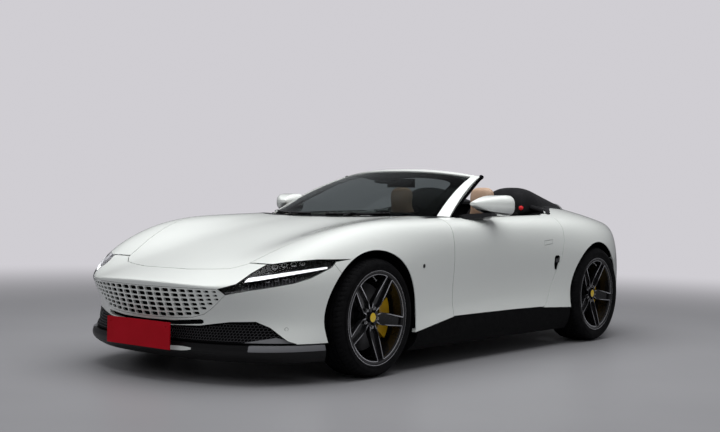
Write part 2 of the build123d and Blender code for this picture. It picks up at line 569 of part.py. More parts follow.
def arm(reach):
    """A wishbone from the body, at a distance inboard, out to the ball joint."""
    outline = [(-reach, -150), (-reach + 30, -150), (-60, -24), (0, -24), (0, 24), (-60, 24), (-reach + 30, 150),
               (-reach, 150)]
    window = [(-reach + 26, -100), (-90, -16), (-90, 16), (-reach + 26, 100)]
    flat = make_face(Polyline(*outline, close=True)) + Circle(24) - make_face(Polyline(*window, close=True))
    return extrude(flat, 20)


def links(hub, strut_y):
    """Both wishbones and the spring strut of a left wheel."""
    reach = HUBS[hub][0] - STEER_INSET - 500
    lower = Pos(-STEER_INSET, 0, -EAR - 16) * arm(reach)
    upper = Pos(-STEER_INSET, 0, EAR - 4) * arm(reach)
    strut = Pos(-STEER_INSET - 120, strut_y, 60) * (Cylinder(18, 420) + Pos(0, 0, 130) * Cylinder(44, 250))
    return [Pos(*HUBS[hub]) * piece for piece in (lower, upper, strut)]


put("knuckle_front", knuckle(DISC_FRONT), "front")
parts["knuckles_rear"] = pair(Pos(*HUBS["rear"]) * knuckle(DISC_REAR))
parts["suspension"] = pair(Compound(children=links("front", 0) + links("rear", 70)))
parts["engine"] = block((-250, 250), (Y_FRONT - 407, Y_FRONT + 353), (262, 640))

# ---- cabin ----------------------------------------------------------------
DASH_HALF = CABIN_HALF - 105
Y_SEAT = Y_REAR - 1297  # front edge of the seats' cushions
WHEEL_PLACE = (SEAT_X, Y_FRONT + 1223, 770)

dash = side(along(Y_FRONT, (593, 880), (880, 898), (1015, 880), (1040, 850), (1036, 800), (985, 770), (1000, 700),
                  (950, 640), (850, 600), (733, 600), (733, 700)), 0, DASH_HALF)
hood = ahead([(SEAT_X - 190, 860), (SEAT_X - 165, 918), (SEAT_X - 90, 938), (SEAT_X + 90, 938), (SEAT_X + 165, 918),
              (SEAT_X + 190, 860)], Y_FRONT + 880, Y_FRONT + 1045)
hood -= ahead([(SEAT_X - 150, 845), (SEAT_X - 135, 905), (SEAT_X + 135, 905), (SEAT_X + 150, 845)], Y_FRONT + 985,
              Y_FRONT + 1100)
screen = block((-95, 95), (Y_FRONT + 1030, Y_FRONT + 1052), (700, 905))
column = Pos(*WHEEL_PLACE) * Rot(STEER_TILT - 90, 0, 0)
shroud = column * (Pos(0, 0, -155) * Cylinder(46, 230))
parts["dashboard"] = both(dash) + hood + screen + shroud - both(core) - both(open_skin)
console = side(along(Y_FRONT, (773, 180), (813, 560), (943, 600), (1073, 500))
               + along(Y_SEAT, (150, 470), (640, 470), (680, 180)), 0, 115)
parts["centre_console"] = both(console) - parts["dashboard"]


def seat(width):
    """A bucket seat with its headrest in one with the back."""
    profile = [(20, 250), (0, 380), (20, 425), (70, 442), (400, 402), (445, 420), (520, 640), (562, 900), (548, 985),
               (556, 1085), (585, 1128), (615, 1136), (648, 1110), (662, 1010), (692, 900), (650, 560), (570, 300),
               (520, 250)]
    solid = extrude(Plane.YZ.offset(-width / 2) * make_face(Polyline(*profile, close=True)), width)
    half = [(width / 2, 0), (width / 2, 780), (width / 2 - 25, 880), (width / 2 - 80, 945), (140, 985), (128, 1100),
            (90, 1200)]
    solid &= ahead([*half, *((-x, z) for x, z in reversed(half))], -500, 1500)
    hollow = along(0, (60, 600), (60, 452), (100, 424), (400, 382), (448, 398), (540, 640), (580, 880), (500, 900))
    return solid - side(hollow, -width / 2 + 95, width / 2 - 95)


for name, x in (("left", SEAT_X), ("right", -SEAT_X)):
    parts[f"front_seat_{name}"] = Pos(x, Y_SEAT, 0) * seat(500)
bench = side(along(Y_REAR, (-597, 200), (-607, 470), (-437, 440), (-367, 930), (-297, 930), (-307, 600), (-357, 200)),
             120, 640)
parts["rear_seats"] = pair(bench)
humps = side(along(Y_REAR, (-427, 900), (-412, 1080), (-380, 1128), (-330, 1148), (-270, 1152), (-147, 1140), (23, 1112),
                   (203, 1075), (443, 1030), (463, 900)))
humps &= plan(above(Y_REAR, (175, -437), (560, -437), (600, -297), (590, -147), (520, 153), (440, 458), (290, 458),
                    (230, 153), (175, -147)), 900)
parts["fairings"] = pair(humps - whole)

ring = Torus(180, 15)
boss = Pos(0, 0, -8) * Cylinder(62, 40)
bars = Pos(0, 0, -6) * (Box(350, 34, 16) + Pos(0, 90, 0) * Box(34, 170, 16))
parts["steering_wheel"] = column * (ring + boss + bars)
parts["interior_mirror"] = Pos(0, Y_HEADER - 3, 1150) * (Box(230, 26, 62) + Pos(0, 8, 42) * Box(30, 26, 40))


# ---- door mirrors ---------------------------------------------------------
def mirror_section(step, x, z, width, height):
    """One rounded section of the mirror's shell, at a step behind the windscreen's foot."""
    return Plane.XZ.offset(-Y_SCREEN - step) * Pos(x, z) * RectangleRounded(width, height, min(width, height) * 0.4)


mirror_sections = [mirror_section(755, 925, 998, 212, 134), mirror_section(700, 922, 999, 206, 130),
                   mirror_section(640, 902, 1001, 172, 106), mirror_section(585, 872, 1003, 112, 64),
                   mirror_section(548, 838, 1005, 44, 20)]
head = loft(mirror_sections)
head -= Plane.XZ.offset(-Y_SCREEN - 749) * extrude(Pos(925, 998) * RectangleRounded(198, 120, 46), -20)
stalk = ahead([(790, 890), (850, 905), (930, 925), (930, 950), (850, 940), (790, 925)], Y_SCREEN + 440, Y_SCREEN + 700)
stalk &= plan(above(Y_SCREEN, (795, 450), (830, 450), (935, 640), (935, 700), (870, 700), (800, 560)), 880, 960)
parts["mirror_left"] = head + stalk - whole

# ---- plate ----------------------------------------------------------------
PLATE_TOP = 325.0
plate = block((-262, 262), (Y_NOSE - 2, Y_NOSE + 4), (PLATE_TOP - 147, PLATE_TOP))
plate += block((-60, 60), (Y_NOSE + 4, Y_NOSE + 90), (230, 285))
for x in (-230, 230):
    plate -= Pos(x, Y_NOSE, PLATE_TOP - 25) * Rot(90, 0, 0) * Cylinder(3.2, 60)
parts["front_plate"] = plate - whole

for name in ("wing", "rear_quarter", "door", "mirror"):
    parts[f"{name}_right"] = other_side(parts[f"{name}_left"])

os.makedirs("parts", exist_ok=True)
for name, piece in parts.items():
    export_step(piece, f"parts/{name}.step")
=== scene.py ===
import json
import math

import bmesh
import bpy
import numpy as np
from mathutils import Matrix, Vector
from mathutils.bvhtree import BVHTree


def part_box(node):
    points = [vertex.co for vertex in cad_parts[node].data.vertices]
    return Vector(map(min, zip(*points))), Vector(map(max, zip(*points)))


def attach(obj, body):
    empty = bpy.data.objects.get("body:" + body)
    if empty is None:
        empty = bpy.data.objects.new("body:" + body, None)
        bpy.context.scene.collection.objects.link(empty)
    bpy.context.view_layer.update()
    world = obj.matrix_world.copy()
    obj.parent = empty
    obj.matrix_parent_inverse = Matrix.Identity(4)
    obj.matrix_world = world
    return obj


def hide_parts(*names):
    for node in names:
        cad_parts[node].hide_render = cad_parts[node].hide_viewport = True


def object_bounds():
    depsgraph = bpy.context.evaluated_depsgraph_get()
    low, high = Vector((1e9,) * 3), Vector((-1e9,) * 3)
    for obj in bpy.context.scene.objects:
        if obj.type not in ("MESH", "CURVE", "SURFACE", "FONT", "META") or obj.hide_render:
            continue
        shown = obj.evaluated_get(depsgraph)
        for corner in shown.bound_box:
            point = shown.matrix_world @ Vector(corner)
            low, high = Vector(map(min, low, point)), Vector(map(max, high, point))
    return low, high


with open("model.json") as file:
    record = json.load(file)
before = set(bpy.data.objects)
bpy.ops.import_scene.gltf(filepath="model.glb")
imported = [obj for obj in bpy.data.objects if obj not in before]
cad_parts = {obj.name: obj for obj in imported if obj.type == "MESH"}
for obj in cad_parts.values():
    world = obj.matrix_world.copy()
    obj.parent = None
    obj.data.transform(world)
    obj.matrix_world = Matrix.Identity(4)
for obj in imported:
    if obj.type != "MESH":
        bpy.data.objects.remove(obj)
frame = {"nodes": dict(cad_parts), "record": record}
CAD_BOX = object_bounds()
NODES = frame["nodes"]
SLOT_OF = {part["node"]: part["material_slot"] for part in frame["record"]["subparts"]}

# ---- camera ---------------------------------------------------------------
CAMERA_PLACE = (4.6971, -6.2863, 0.9496)
CAMERA_YAW = -0.67174  # from +Y, towards +X
CAMERA_PITCH = -0.005387
CAMERA_ROLL = 0.02
LENS = 54.59
SENSOR = 36.0


def make_camera():
    """The camera, placed and turned as the photograph was taken."""
    level = math.cos(CAMERA_PITCH)
    forward = Vector((math.sin(CAMERA_YAW) * level, math.cos(CAMERA_YAW) * level,
                      math.sin(CAMERA_PITCH)))
    flat_right = forward.cross(Vector((0, 0, 1))).normalized()
    flat_up = flat_right.cross(forward)
    c, s = math.cos(CAMERA_ROLL), math.sin(CAMERA_ROLL)
    right = c * flat_right + s * flat_up
    up = c * flat_up - s * flat_right
    data = bpy.data.cameras.new("camera")
    data.lens = LENS
    data.sensor_width = SENSOR
    camera = bpy.data.objects.new("camera", data)
    turn = Matrix((right, up, -forward)).transposed().to_4x4()
    camera.matrix_world = Matrix.Translation(CAMERA_PLACE) @ turn
    bpy.context.scene.collection.objects.link(camera)
    bpy.context.scene.camera = camera


# ---- materials ------------------------------------------------------------
MIRROR_SPLIT = 1.118  # the door mirrors are black where height + MIRROR_LEAN x distance out is less
MIRROR_LEAN = 0.17
SPLITTER_SPLIT = 0.185  # below this height the splitter is black
SPLITTER_INNER = 0.65  # and all of it this near the middle


class Nodes:
    """A short way to write a node material round one Principled shader."""

    def __init__(self, name, color, rough=0.4, **inputs):
        self.material = bpy.data.materials.new(name)
        self.material.use_nodes = True
        self.tree = self.material.node_tree
        self.shader = self.tree.nodes["Principled BSDF"]
        self.set("Base Color", (*color, 1))
        self.set("Roughness", rough)
        for key, value in inputs.items():
            self.set(key.replace("_", " ").title().replace("Ior", "IOR"), value)
        self.place = None

    def set(self, key, value):
        self.shader.inputs[key].default_value = value

    def add(self, kind, **values):
        node = self.tree.nodes.new(kind)
        for key, value in values.items():
            if hasattr(node, key):
                setattr(node, key, value)
            else:
                node.inputs[key.replace("_", " ").title()].default_value = value
        return node

    def join(self, out, into):
        self.tree.links.new(out, into)

    def coords(self, scale=(1, 1, 1)):
        """The object's own coordinates in metres, stretched."""
        if self.place is None:
            self.place = self.add("ShaderNodeTexCoord")
        stretch = self.add("ShaderNodeMapping")
        stretch.inputs["Scale"].default_value = scale
        self.join(self.place.outputs["Object"], stretch.inputs["Vector"])
        return stretch.outputs["Vector"]

    def noise(self, scale, detail=4.0, stretch=(1, 1, 1)):
        node = self.add("ShaderNodeTexNoise", scale=scale, detail=detail)
        self.join(self.coords(stretch), node.inputs["Vector"])
        return node.outputs["Fac"]

    def mixed(self, fac, low, high, into="Base Color", start=0.3, stop=0.7):
        """A colour or roughness that goes from low to high with a texture."""
        ramp = self.add("ShaderNodeValToRGB")
        ends = ramp.color_ramp.elements
        ends[0].position, ends[1].position = start, stop
        for end, value in zip(ends, (low, high)):
            end.color = (*value, 1) if isinstance(value, tuple) else (value, value, value, 1)
        self.join(fac, ramp.inputs["Fac"])
        self.join(ramp.outputs["Color"], self.shader.inputs[into])
        return ramp.outputs["Color"]

    def math(self, operation, first, second=0.0):
        node = self.tree.nodes.new("ShaderNodeMath")
        node.operation = operation
        for value, socket in zip((first, second), node.inputs):
            if isinstance(value, float):
                socket.default_value = value
            else:
                self.join(value, socket)
        return node.outputs["Value"]

    def bump(self, height, strength, distance, coat=False):
        node = self.add("ShaderNodeBump")
        node.inputs["Strength"].default_value = strength
        node.inputs["Distance"].default_value = distance
        self.join(height, node.inputs["Height"])
        last = self.shader.inputs["Normal"].links
        if last:
            self.join(last[0].from_socket, node.inputs["Normal"])
        self.join(node.outputs["Normal"], self.shader.inputs["Normal"])
        if coat:
            self.join(node.outputs["Normal"], self.shader.inputs["Coat Normal"])
        return self

    def speckle(self, scale, strength, distance):
        """Fine grain over the whole surface."""
        return self.bump(self.noise(scale, 6), strength, distance)


def clear(name, tint, rough=0.0, ior=1.45):
    """Glass that lets light through to what is behind it."""
    m = Nodes(name, tint, rough, transmission_weight=1.0, ior=ior)
    m.mixed(m.noise(3.0), rough, rough + 0.015, "Roughness")
    through = m.add("ShaderNodeBsdfTransparent")
    through.inputs["Color"].default_value = (*tint, 1)
    path = m.add("ShaderNodeLightPath")
    mix = m.add("ShaderNodeMixShader")
    m.join(path.outputs["Is Shadow Ray"], mix.inputs["Fac"])
    m.join(m.shader.outputs["BSDF"], mix.inputs[1])
    m.join(through.outputs["BSDF"], mix.inputs[2])
    m.join(mix.outputs["Shader"], m.tree.nodes["Material Output"].inputs["Surface"])
    return m


def leather(name, color, dark):
    """Fine pebbled grain with slow changes of colour."""
    m = Nodes(name, color, 0.48, coat_weight=0.06, coat_roughness=0.5, specular_ior_level=0.3)
    m.mixed(m.noise(9.0, 3), dark, color, start=0.35, stop=0.75)
    grain = m.add("ShaderNodeTexVoronoi", scale=900.0)
    m.join(m.coords(), grain.inputs["Vector"])
    m.bump(grain.outputs["Distance"], 0.35, 0.0004)
    m.mixed(m.noise(40.0), 0.42, 0.58, "Roughness")
    return m.bump(m.noise(30.0, 3), 0.2, 0.0012)


def brushed(name, color, rough, stretch):
    """Machined metal with fine lines along one way."""
    m = Nodes(name, color, rough, metallic=1.0)
    m.mixed(m.noise(60.0, 4, stretch), rough * 0.75, rough * 1.3, "Roughness")
    return m.bump(m.noise(180.0, 3, stretch), 0.15, 0.0002)


def make_materials():
    white = (0.765, 0.795, 0.77)
    paint = Nodes("white_paint", white, 0.32, coat_weight=1.0, coat_roughness=0.03,
                  specular_ior_level=0.5)
    paint.mixed(paint.noise(1100.0, 2), (0.73, 0.76, 0.735), (0.795, 0.825, 0.80))
    paint.mixed(paint.noise(2.5, 3), 0.28, 0.36, "Roughness")
    paint.bump(paint.noise(500.0, 2), 0.02, 0.0001)

    trim = Nodes("black_trim", (0.006, 0.006, 0.0065), 0.34, coat_weight=0.25, coat_roughness=0.15,
                 specular_ior_level=0.3)
    trim.mixed(trim.noise(25.0), 0.24, 0.36, "Roughness")
    trim.speckle(700.0, 0.05, 0.0003)

    carbon = Nodes("carbon_grey", (0.030, 0.031, 0.034), 0.38, coat_weight=0.3, coat_roughness=0.2)
    carbon.mixed(carbon.noise(300.0, 3), (0.024, 0.025, 0.028), (0.038, 0.039, 0.042))
    carbon.speckle(900.0, 0.1, 0.0003)

    blade = Nodes("splitter", (0.12, 0.12, 0.13), 0.42, specular_ior_level=0.3)
    place = blade.add("ShaderNodeSeparateXYZ")
    blade.join(blade.coords(), place.inputs["Vector"])
    outer = blade.math("GREATER_THAN", blade.math("ABSOLUTE", place.outputs["X"]), SPLITTER_INNER)
    upper = blade.math("GREATER_THAN", place.outputs["Z"], SPLITTER_SPLIT)
    blade.mixed(blade.math("MULTIPLY", outer, upper), (0.005, 0.005, 0.0055), (0.19, 0.193, 0.205))
    blade.speckle(700.0, 0.08, 0.0003)

    blade_grey = Nodes("blade_grey", (0.17, 0.172, 0.182), 0.42, specular_ior_level=0.3)
    blade_grey.mixed(blade_grey.noise(30.0), (0.16, 0.162, 0.172), (0.18, 0.182, 0.192))
    blade_grey.speckle(700.0, 0.08, 0.0003)

    structure = Nodes("structure", (0.005, 0.005, 0.0055), 0.8, specular_ior_level=0.0)
    structure.mixed(structure.noise(14.0), (0.004, 0.004, 0.0045), (0.008, 0.008, 0.0085))
    structure.speckle(260.0, 0.3, 0.001)

    mesh_black = Nodes("mesh_black", (0.003, 0.003, 0.0035), 0.6, specular_ior_level=0.03)
    mesh_black.mixed(mesh_black.noise(60.0), 0.42, 0.6, "Roughness")
    mesh_black.speckle(500.0, 0.1, 0.0005)

    lamp_black = Nodes("lamp_black", (0.004, 0.004, 0.0045), 0.25, coat_weight=0.15,
                       specular_ior_level=0.3)
    lamp_black.mixed(lamp_black.noise(80.0), 0.16, 0.3, "Roughness")
    lamp_black.speckle(400.0, 0.05, 0.0003)

    red = Nodes("lamp_red", (0.26, 0.004, 0.006), 0.12, coat_weight=1.0)
    ribs = red.add("ShaderNodeTexWave", scale=110.0)
    red.join(red.coords((1, 0, 0)), ribs.inputs["Vector"])
    red.bump(ribs.outputs["Fac"], 0.3, 0.0008)
    red.mixed(ribs.outputs["Fac"], (0.18, 0.002, 0.004), (0.34, 0.006, 0.008))

    skirt = Nodes("skirt_black", (0.004, 0.004, 0.0045), 0.55, specular_ior_level=0.04)
    skirt.mixed(skirt.noise(30.0), (0.003, 0.003, 0.0035), (0.006, 0.006, 0.0065))
    skirt.speckle(600.0, 0.05, 0.0003)

    print_black = Nodes("print_black", (0.0025, 0.0025, 0.003), 0.7, specular_ior_level=0.0)
    print_black.mixed(print_black.noise(200.0), (0.002, 0.002, 0.0025), (0.003, 0.003, 0.0035))
    print_black.speckle(900.0, 0.03, 0.0001)

    tyre = Nodes("tyre", (0.005, 0.005, 0.0055), 0.7, specular_ior_level=0.07)
    tyre.mixed(tyre.noise(18.0), (0.004, 0.004, 0.0045), (0.0075, 0.0075, 0.008))
    tyre.mixed(tyre.noise(35.0), 0.52, 0.72, "Roughness")
    tyre.speckle(600.0, 0.12, 0.0006)

    rim = Nodes("rim", (0.008, 0.008, 0.009), 0.24, coat_weight=0.5, coat_roughness=0.08,
                specular_ior_level=0.35)
    rim.mixed(rim.noise(20.0), 0.18, 0.3, "Roughness")
    rim.speckle(900.0, 0.04, 0.0002)

    caliper = Nodes("caliper", (0.72, 0.42, 0.008), 0.3, coat_weight=0.7, coat_roughness=0.1)
    caliper.mixed(caliper.noise(30.0), (0.62, 0.35, 0.006), (0.75, 0.45, 0.012))
    caliper.speckle(300.0, 0.12, 0.0005)

    steel_black = Nodes("steel_black", (0.022, 0.022, 0.024), 0.45)
    steel_black.mixed(steel_black.noise(30.0), 0.36, 0.56, "Roughness")
    steel_black.speckle(250.0, 0.15, 0.0006)

    alloy = Nodes("alloy", (0.30, 0.30, 0.31), 0.5, metallic=1.0)
    alloy.mixed(alloy.noise(16.0), (0.22, 0.22, 0.23), (0.36, 0.36, 0.37))
    alloy.speckle(220.0, 0.35, 0.001)

    soft = Nodes("soft_black", (0.010, 0.010, 0.0105), 0.62, specular_ior_level=0.3)
    soft.mixed(soft.noise(12.0), (0.008, 0.008, 0.0085), (0.014, 0.014, 0.0145))
    soft.speckle(450.0, 0.25, 0.0006)

    plate = Nodes("plate", (0.42, 0.001, 0.010), 0.5, specular_ior_level=0.15)
    plate.mixed(plate.noise(8.0, 3), (0.40, 0.001, 0.009), (0.45, 0.0015, 0.012))
    plate.speckle(500.0, 0.05, 0.0003)

    mirror = Nodes("mirror_head", white, 0.3, coat_weight=1.0, coat_roughness=0.03)
    place = mirror.add("ShaderNodeSeparateXYZ")
    mirror.join(mirror.coords(), place.inputs["Vector"])
    leaning = mirror.math("MULTIPLY", mirror.math("ABSOLUTE", place.outputs["X"]), MIRROR_LEAN)
    above = mirror.math("GREATER_THAN", mirror.math("ADD", place.outputs["Z"], leaning),
                        MIRROR_SPLIT)
    mirror.mixed(above, (0.008, 0.008, 0.009), white)
    mirror.speckle(500.0, 0.02, 0.0001)

    cap = Nodes("cap_yellow", (0.80, 0.55, 0.01), 0.25, coat_weight=0.8, coat_roughness=0.05)
    cap.mixed(cap.noise(60.0), (0.74, 0.50, 0.008), (0.83, 0.58, 0.015))
    cap.speckle(500.0, 0.03, 0.0002)

    dark = Nodes("steel_dark", (0.035, 0.035, 0.038), 0.4, coat_weight=0.3)
    dark.mixed(dark.noise(50.0), 0.32, 0.5, "Roughness")
    dark.speckle(400.0, 0.1, 0.0003)

    white_light = Nodes("light_white", (0.86, 0.87, 0.88), 0.25, coat_weight=0.6,
                        emission_strength=0.35)
    white_light.set("Emission Color", (0.95, 0.97, 1.0, 1))
    white_light.mixed(white_light.noise(90.0), 0.2, 0.32, "Roughness")

    tip = Nodes("tip_grey", (0.36, 0.36, 0.37), 0.35, coat_weight=0.4)
    tip.mixed(tip.noise(40.0), (0.32, 0.32, 0.33), (0.40, 0.40, 0.41))
    tip.speckle(400.0, 0.05, 0.0003)

    silver = Nodes("mirror_glass", (0.78, 0.80, 0.82), 0.02, metallic=1.0)
    silver.mixed(silver.noise(6.0), 0.015, 0.03, "Roughness")

    carpet = Nodes("carpet", (0.014, 0.014, 0.015), 0.95, sheen_weight=0.3, sheen_roughness=0.5)
    carpet.mixed(carpet.noise(700.0, 2), (0.008, 0.008, 0.009), (0.030, 0.030, 0.032))
    carpet.bump(carpet.noise(900.0, 2), 0.8, 0.0025)

    display = Nodes("screen_dark", (0.006, 0.006, 0.008), 0.08, coat_weight=1.0,
                    coat_roughness=0.02)
    display.mixed(display.noise(10.0), 0.06, 0.1, "Roughness")

    belt = Nodes("belt_red", (0.55, 0.01, 0.015), 0.4, coat_weight=0.3)
    belt.mixed(belt.noise(60.0), (0.48, 0.008, 0.012), (0.60, 0.014, 0.02))
    belt.speckle(300.0, 0.05, 0.0003)

    made = {
        "white_paint": paint, "black_trim": trim, "carbon_grey": carbon, "structure": structure,
        "mesh_black": mesh_black, "lamp_black": lamp_black, "lamp_red": red, "tyre": tyre,
        "rim": rim,
        "caliper": caliper, "steel_black": steel_black, "alloy": alloy, "soft_black": soft,
        "plate": plate,
        "mirror_head": mirror,
        "lamp_clear": clear("lamp_clear", (0.96, 0.97, 0.98), ior=1.12), "skirt_black": skirt,
        "print_black": print_black,
        "lens": clear("lens", (0.80, 0.84, 0.90), 0.05),
        "glass": clear("glass", (0.115, 0.135, 0.135), ior=1.08),
        "cap_yellow": cap, "steel_dark": dark, "light_white": white_light, "mirror_glass": silver,
        "splitter": blade, "blade_grey": blade_grey,
        "tip_grey": tip,
        "carpet": carpet, "screen_dark": display, "belt_red": belt,
        "leather_tan": leather("leather_tan", (0.45, 0.32, 0.235), (0.38, 0.26, 0.185)),
        "leather_black": leather("leather_black", (0.011, 0.011, 0.012), (0.007, 0.007, 0.008)),
        "disc": brushed("disc", (0.11, 0.11, 0.112), 0.38, (1, 6, 6)),
        "steel_bright": brushed("steel_bright", (0.55, 0.55, 0.55), 0.2, (8, 1, 8)),
        "machined": brushed("machined", (0.72, 0.72, 0.74), 0.22, (1, 5, 5)),
    }
    return {name: m.material for name, m in made.items()}


MATERIALS = make_materials()


# ---- making pieces --------------------------------------------------------
def piece_of(name, vertices, faces, body, slot, material=None, smooth=True):
    """A mesh in the car's frame that rides on a body."""
    mesh = bpy.data.meshes.new(name)
    mesh.from_pydata([tuple(v) for v in vertices], [], [tuple(f) for f in faces])
    mesh.validate()
    bm = bmesh.new()
    bm.from_mesh(mesh)
    bmesh.ops.recalc_face_normals(bm, faces=bm.faces)
    bm.to_mesh(mesh)
    bm.free()
    if smooth:
        mesh.polygons.foreach_set("use_smooth", [True] * len(mesh.polygons))
        mesh.set_sharp_from_angle(angle=math.radians(40))
    piece = bpy.data.objects.new(name, mesh)
    bpy.context.scene.collection.objects.link(piece)
    mesh.materials.append(MATERIALS[material or slot])
    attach(piece, body)
    return piece


# CAD nodes that wear another material than their slot's
SPECIAL = {"front_splitter": "splitter", "side_skirts": "skirt_black",
           "interior_mirror": "print_black"}


def carried_over():
    for name, node in NODES.items():
        node.data.materials.clear()
        node.data.materials.append(MATERIALS[SPECIAL.get(name, SLOT_OF[name])])


def tree_of(*names):
    """A tree for finding where a ray meets the CAD's surface."""
    bm = bmesh.new()
    for name in names:
        bm.from_mesh(NODES[name].data)
    tree = BVHTree.FromBMesh(bm)
    bm.free()
    return tree


# ---- stage ----------------------------------------------------------------
BACKDROP = (0.63, 0.615, 0.65)
LAMPS = (  # name, place, what it points at, size, watts
    ("top", (0.3, -0.2, 5.6), (0.3, -0.2, 0), 7.5, 600),
    ("front", (1.0, -7.5, 5.0), (0.3, -0.5, 0.8), 4.0, 80),
    ("side", (7.5, -2.0, 3.6), (0, 0, 0.5), 4.0, 25),
    ("rear", (-4.5, 5.5, 4.2), (0, 0.5, 0.8), 4.0, 34))
FLOOR_NEAR, FLOOR_FAR = 3.2, 11.0  # the floor's own colour ends, the backdrop's begins


def make_world():
    """Soft grey light from all round; the camera and glass see a paler backdrop, and glossy rays a
    dim grey.
    """
    world = bpy.data.worlds.new("world")
    bpy.context.scene.world = world
    world.use_nodes = True
    tree = world.node_tree
    light = tree.nodes["Background"]
    light.inputs["Color"].default_value = (0.96, 0.97, 1.0, 1)
    light.inputs["Strength"].default_value = 0.25
    shown = tree.nodes.new("ShaderNodeBackground")
    shown.inputs["Color"].default_value = (*BACKDROP, 1)
    dim = tree.nodes.new("ShaderNodeBackground")
    dim.inputs["Color"].default_value = (0.17, 0.17, 0.18, 1)
    path = tree.nodes.new("ShaderNodeLightPath")
    through = tree.nodes.new("ShaderNodeMath")
    through.operation = "MAXIMUM"
    first, second = (tree.nodes.new("ShaderNodeMixShader") for _ in range(2))
    join = tree.links.new
    join(path.outputs["Is Camera Ray"], through.inputs[0])
    join(path.outputs["Is Transmission Ray"], through.inputs[1])
    join(path.outputs["Is Glossy Ray"], first.inputs["Fac"])
    join(light.outputs["Background"], first.inputs[1])
    join(dim.outputs["Background"], first.inputs[2])
    join(through.outputs["Value"], second.inputs["Fac"])
    join(first.outputs["Shader"], second.inputs[1])
    join(shown.outputs["Background"], second.inputs[2])
    join(second.outputs["Shader"], tree.nodes["World Output"].inputs["Surface"])


def make_stage():
    bpy.ops.mesh.primitive_plane_add(size=80)
    floor = bpy.context.object
    floor.name = "floor"
    m = Nodes("floor", (0.24, 0.24, 0.252), 0.4)
    m.mixed(m.noise(1.2, 3), (0.235, 0.235, 0.247), (0.245, 0.245, 0.257))
    # far from the car the floor passes into the backdrop
    away = m.add("ShaderNodeVectorMath", operation="LENGTH")
    m.join(m.coords(), away.inputs[0])
    fade = m.add("ShaderNodeMapRange", interpolation_type="SMOOTHSTEP")
    fade.inputs["From Min"].default_value = FLOOR_NEAR
    fade.inputs["From Max"].default_value = FLOOR_FAR
    m.join(away.outputs["Value"], fade.inputs["Value"])
    glow = m.add("ShaderNodeEmission")
    glow.inputs["Color"].default_value = (*BACKDROP, 1)
    path = m.add("ShaderNodeLightPath")
    mix = m.add("ShaderNodeMixShader")
    m.join(m.math("MULTIPLY", fade.outputs["Result"], path.outputs["Is Camera Ray"]),
           mix.inputs["Fac"])
    m.join(m.shader.outputs["BSDF"], mix.inputs[1])
    m.join(glow.outputs["Emission"], mix.inputs[2])
    m.join(mix.outputs["Shader"], m.tree.nodes["Material Output"].inputs["Surface"])
    floor.data.materials.append(m.material)
    for name, place, aim, size, power in LAMPS:
        light = bpy.data.lights.new(name, "AREA")
        light.energy = power
        light.size = size
        lamp = bpy.data.objects.new(name, light)
        lamp.visible_glossy = False
        lamp.location = place
        lamp.rotation_euler = (Vector(place) - Vector(aim)).to_track_quat("Z", "Y").to_euler()
        bpy.context.scene.collection.objects.link(lamp)


# ---- shapes ---------------------------------------------------------------

def lathe(profile, steps=48, start=0.0, stop=2 * math.pi, closed=False):
    """A section (x, radius) turned round the X axis."""
    count = len(profile)
    whole = abs(stop - start - 2 * math.pi) < 1e-6
    columns = steps if whole else steps + 1
    vertices = []
    for i in range(columns):
        a = start + (stop - start) * i / steps
        vertices += [(x, r * math.cos(a), r * math.sin(a)) for x, r in profile]
    faces = []
    for i in range(steps):
        for j in range(count if closed else count - 1):
            k = (j + 1) % count
            n = (i + 1) % columns
            faces.append((i * count + j, i * count + k, n * count + k, n * count + j))
    return vertices, faces


def moved(vertices, place, mirrored=False):
    way = -1 if mirrored else 1
    return [(place[0] + way * x, place[1] + y, place[2] + z) for x, y, z in vertices]


def grid_faces(rows, columns, first=0, loop=False):
    """Quads of a grid of points, row by row; loop joins the last column to the first."""
    faces = []
    for i in range(rows - 1):
        for j in range(columns if loop else columns - 1):
            k = (j + 1) % columns
            a, b = first + i * columns, first + (i + 1) * columns
            faces.append((a + j, a + k, b + k, b + j))
    return faces


def merged(*meshes):
    """Several (vertices, faces) as one."""
    vertices, faces = [], []
    for v, f in meshes:
        base = len(vertices)
        vertices += list(v)
        faces += [tuple(i + base for i in face) for face in f]
    return vertices, faces


def ribbon(path, ups, width, thick, closed=False):
    """A strip of box section along a path; ups point out of the surface that it lies on."""
    path = [Vector(p) for p in path]
    ups = [Vector(u).normalized() for u in ups]
    count = len(path)
    widths = width if isinstance(width, list) else [width] * count
    vertices = []
    for i, (p, up, w) in enumerate(zip(path, ups, widths)):
        before = path[i - 1] if i or closed else p
        after = path[(i + 1) % count] if i < count - 1 or closed else p
        ahead = (after - p).normalized() + (p - before).normalized()
        across = ahead.cross(up).normalized() * w / 2
        vertices += [p - across, p - across + up * thick, p + across + up * thick, p + across]
    faces = grid_faces(count, 4, loop=True)
    if closed:
        last = (count - 1) * 4
        faces += [(last + j, last + (j + 1) % 4, (j + 1) % 4, j) for j in range(4)]
    else:
        faces += [(0, 1, 2, 3), tuple(count * 4 - 4 + j for j in range(4))]
    return vertices, faces


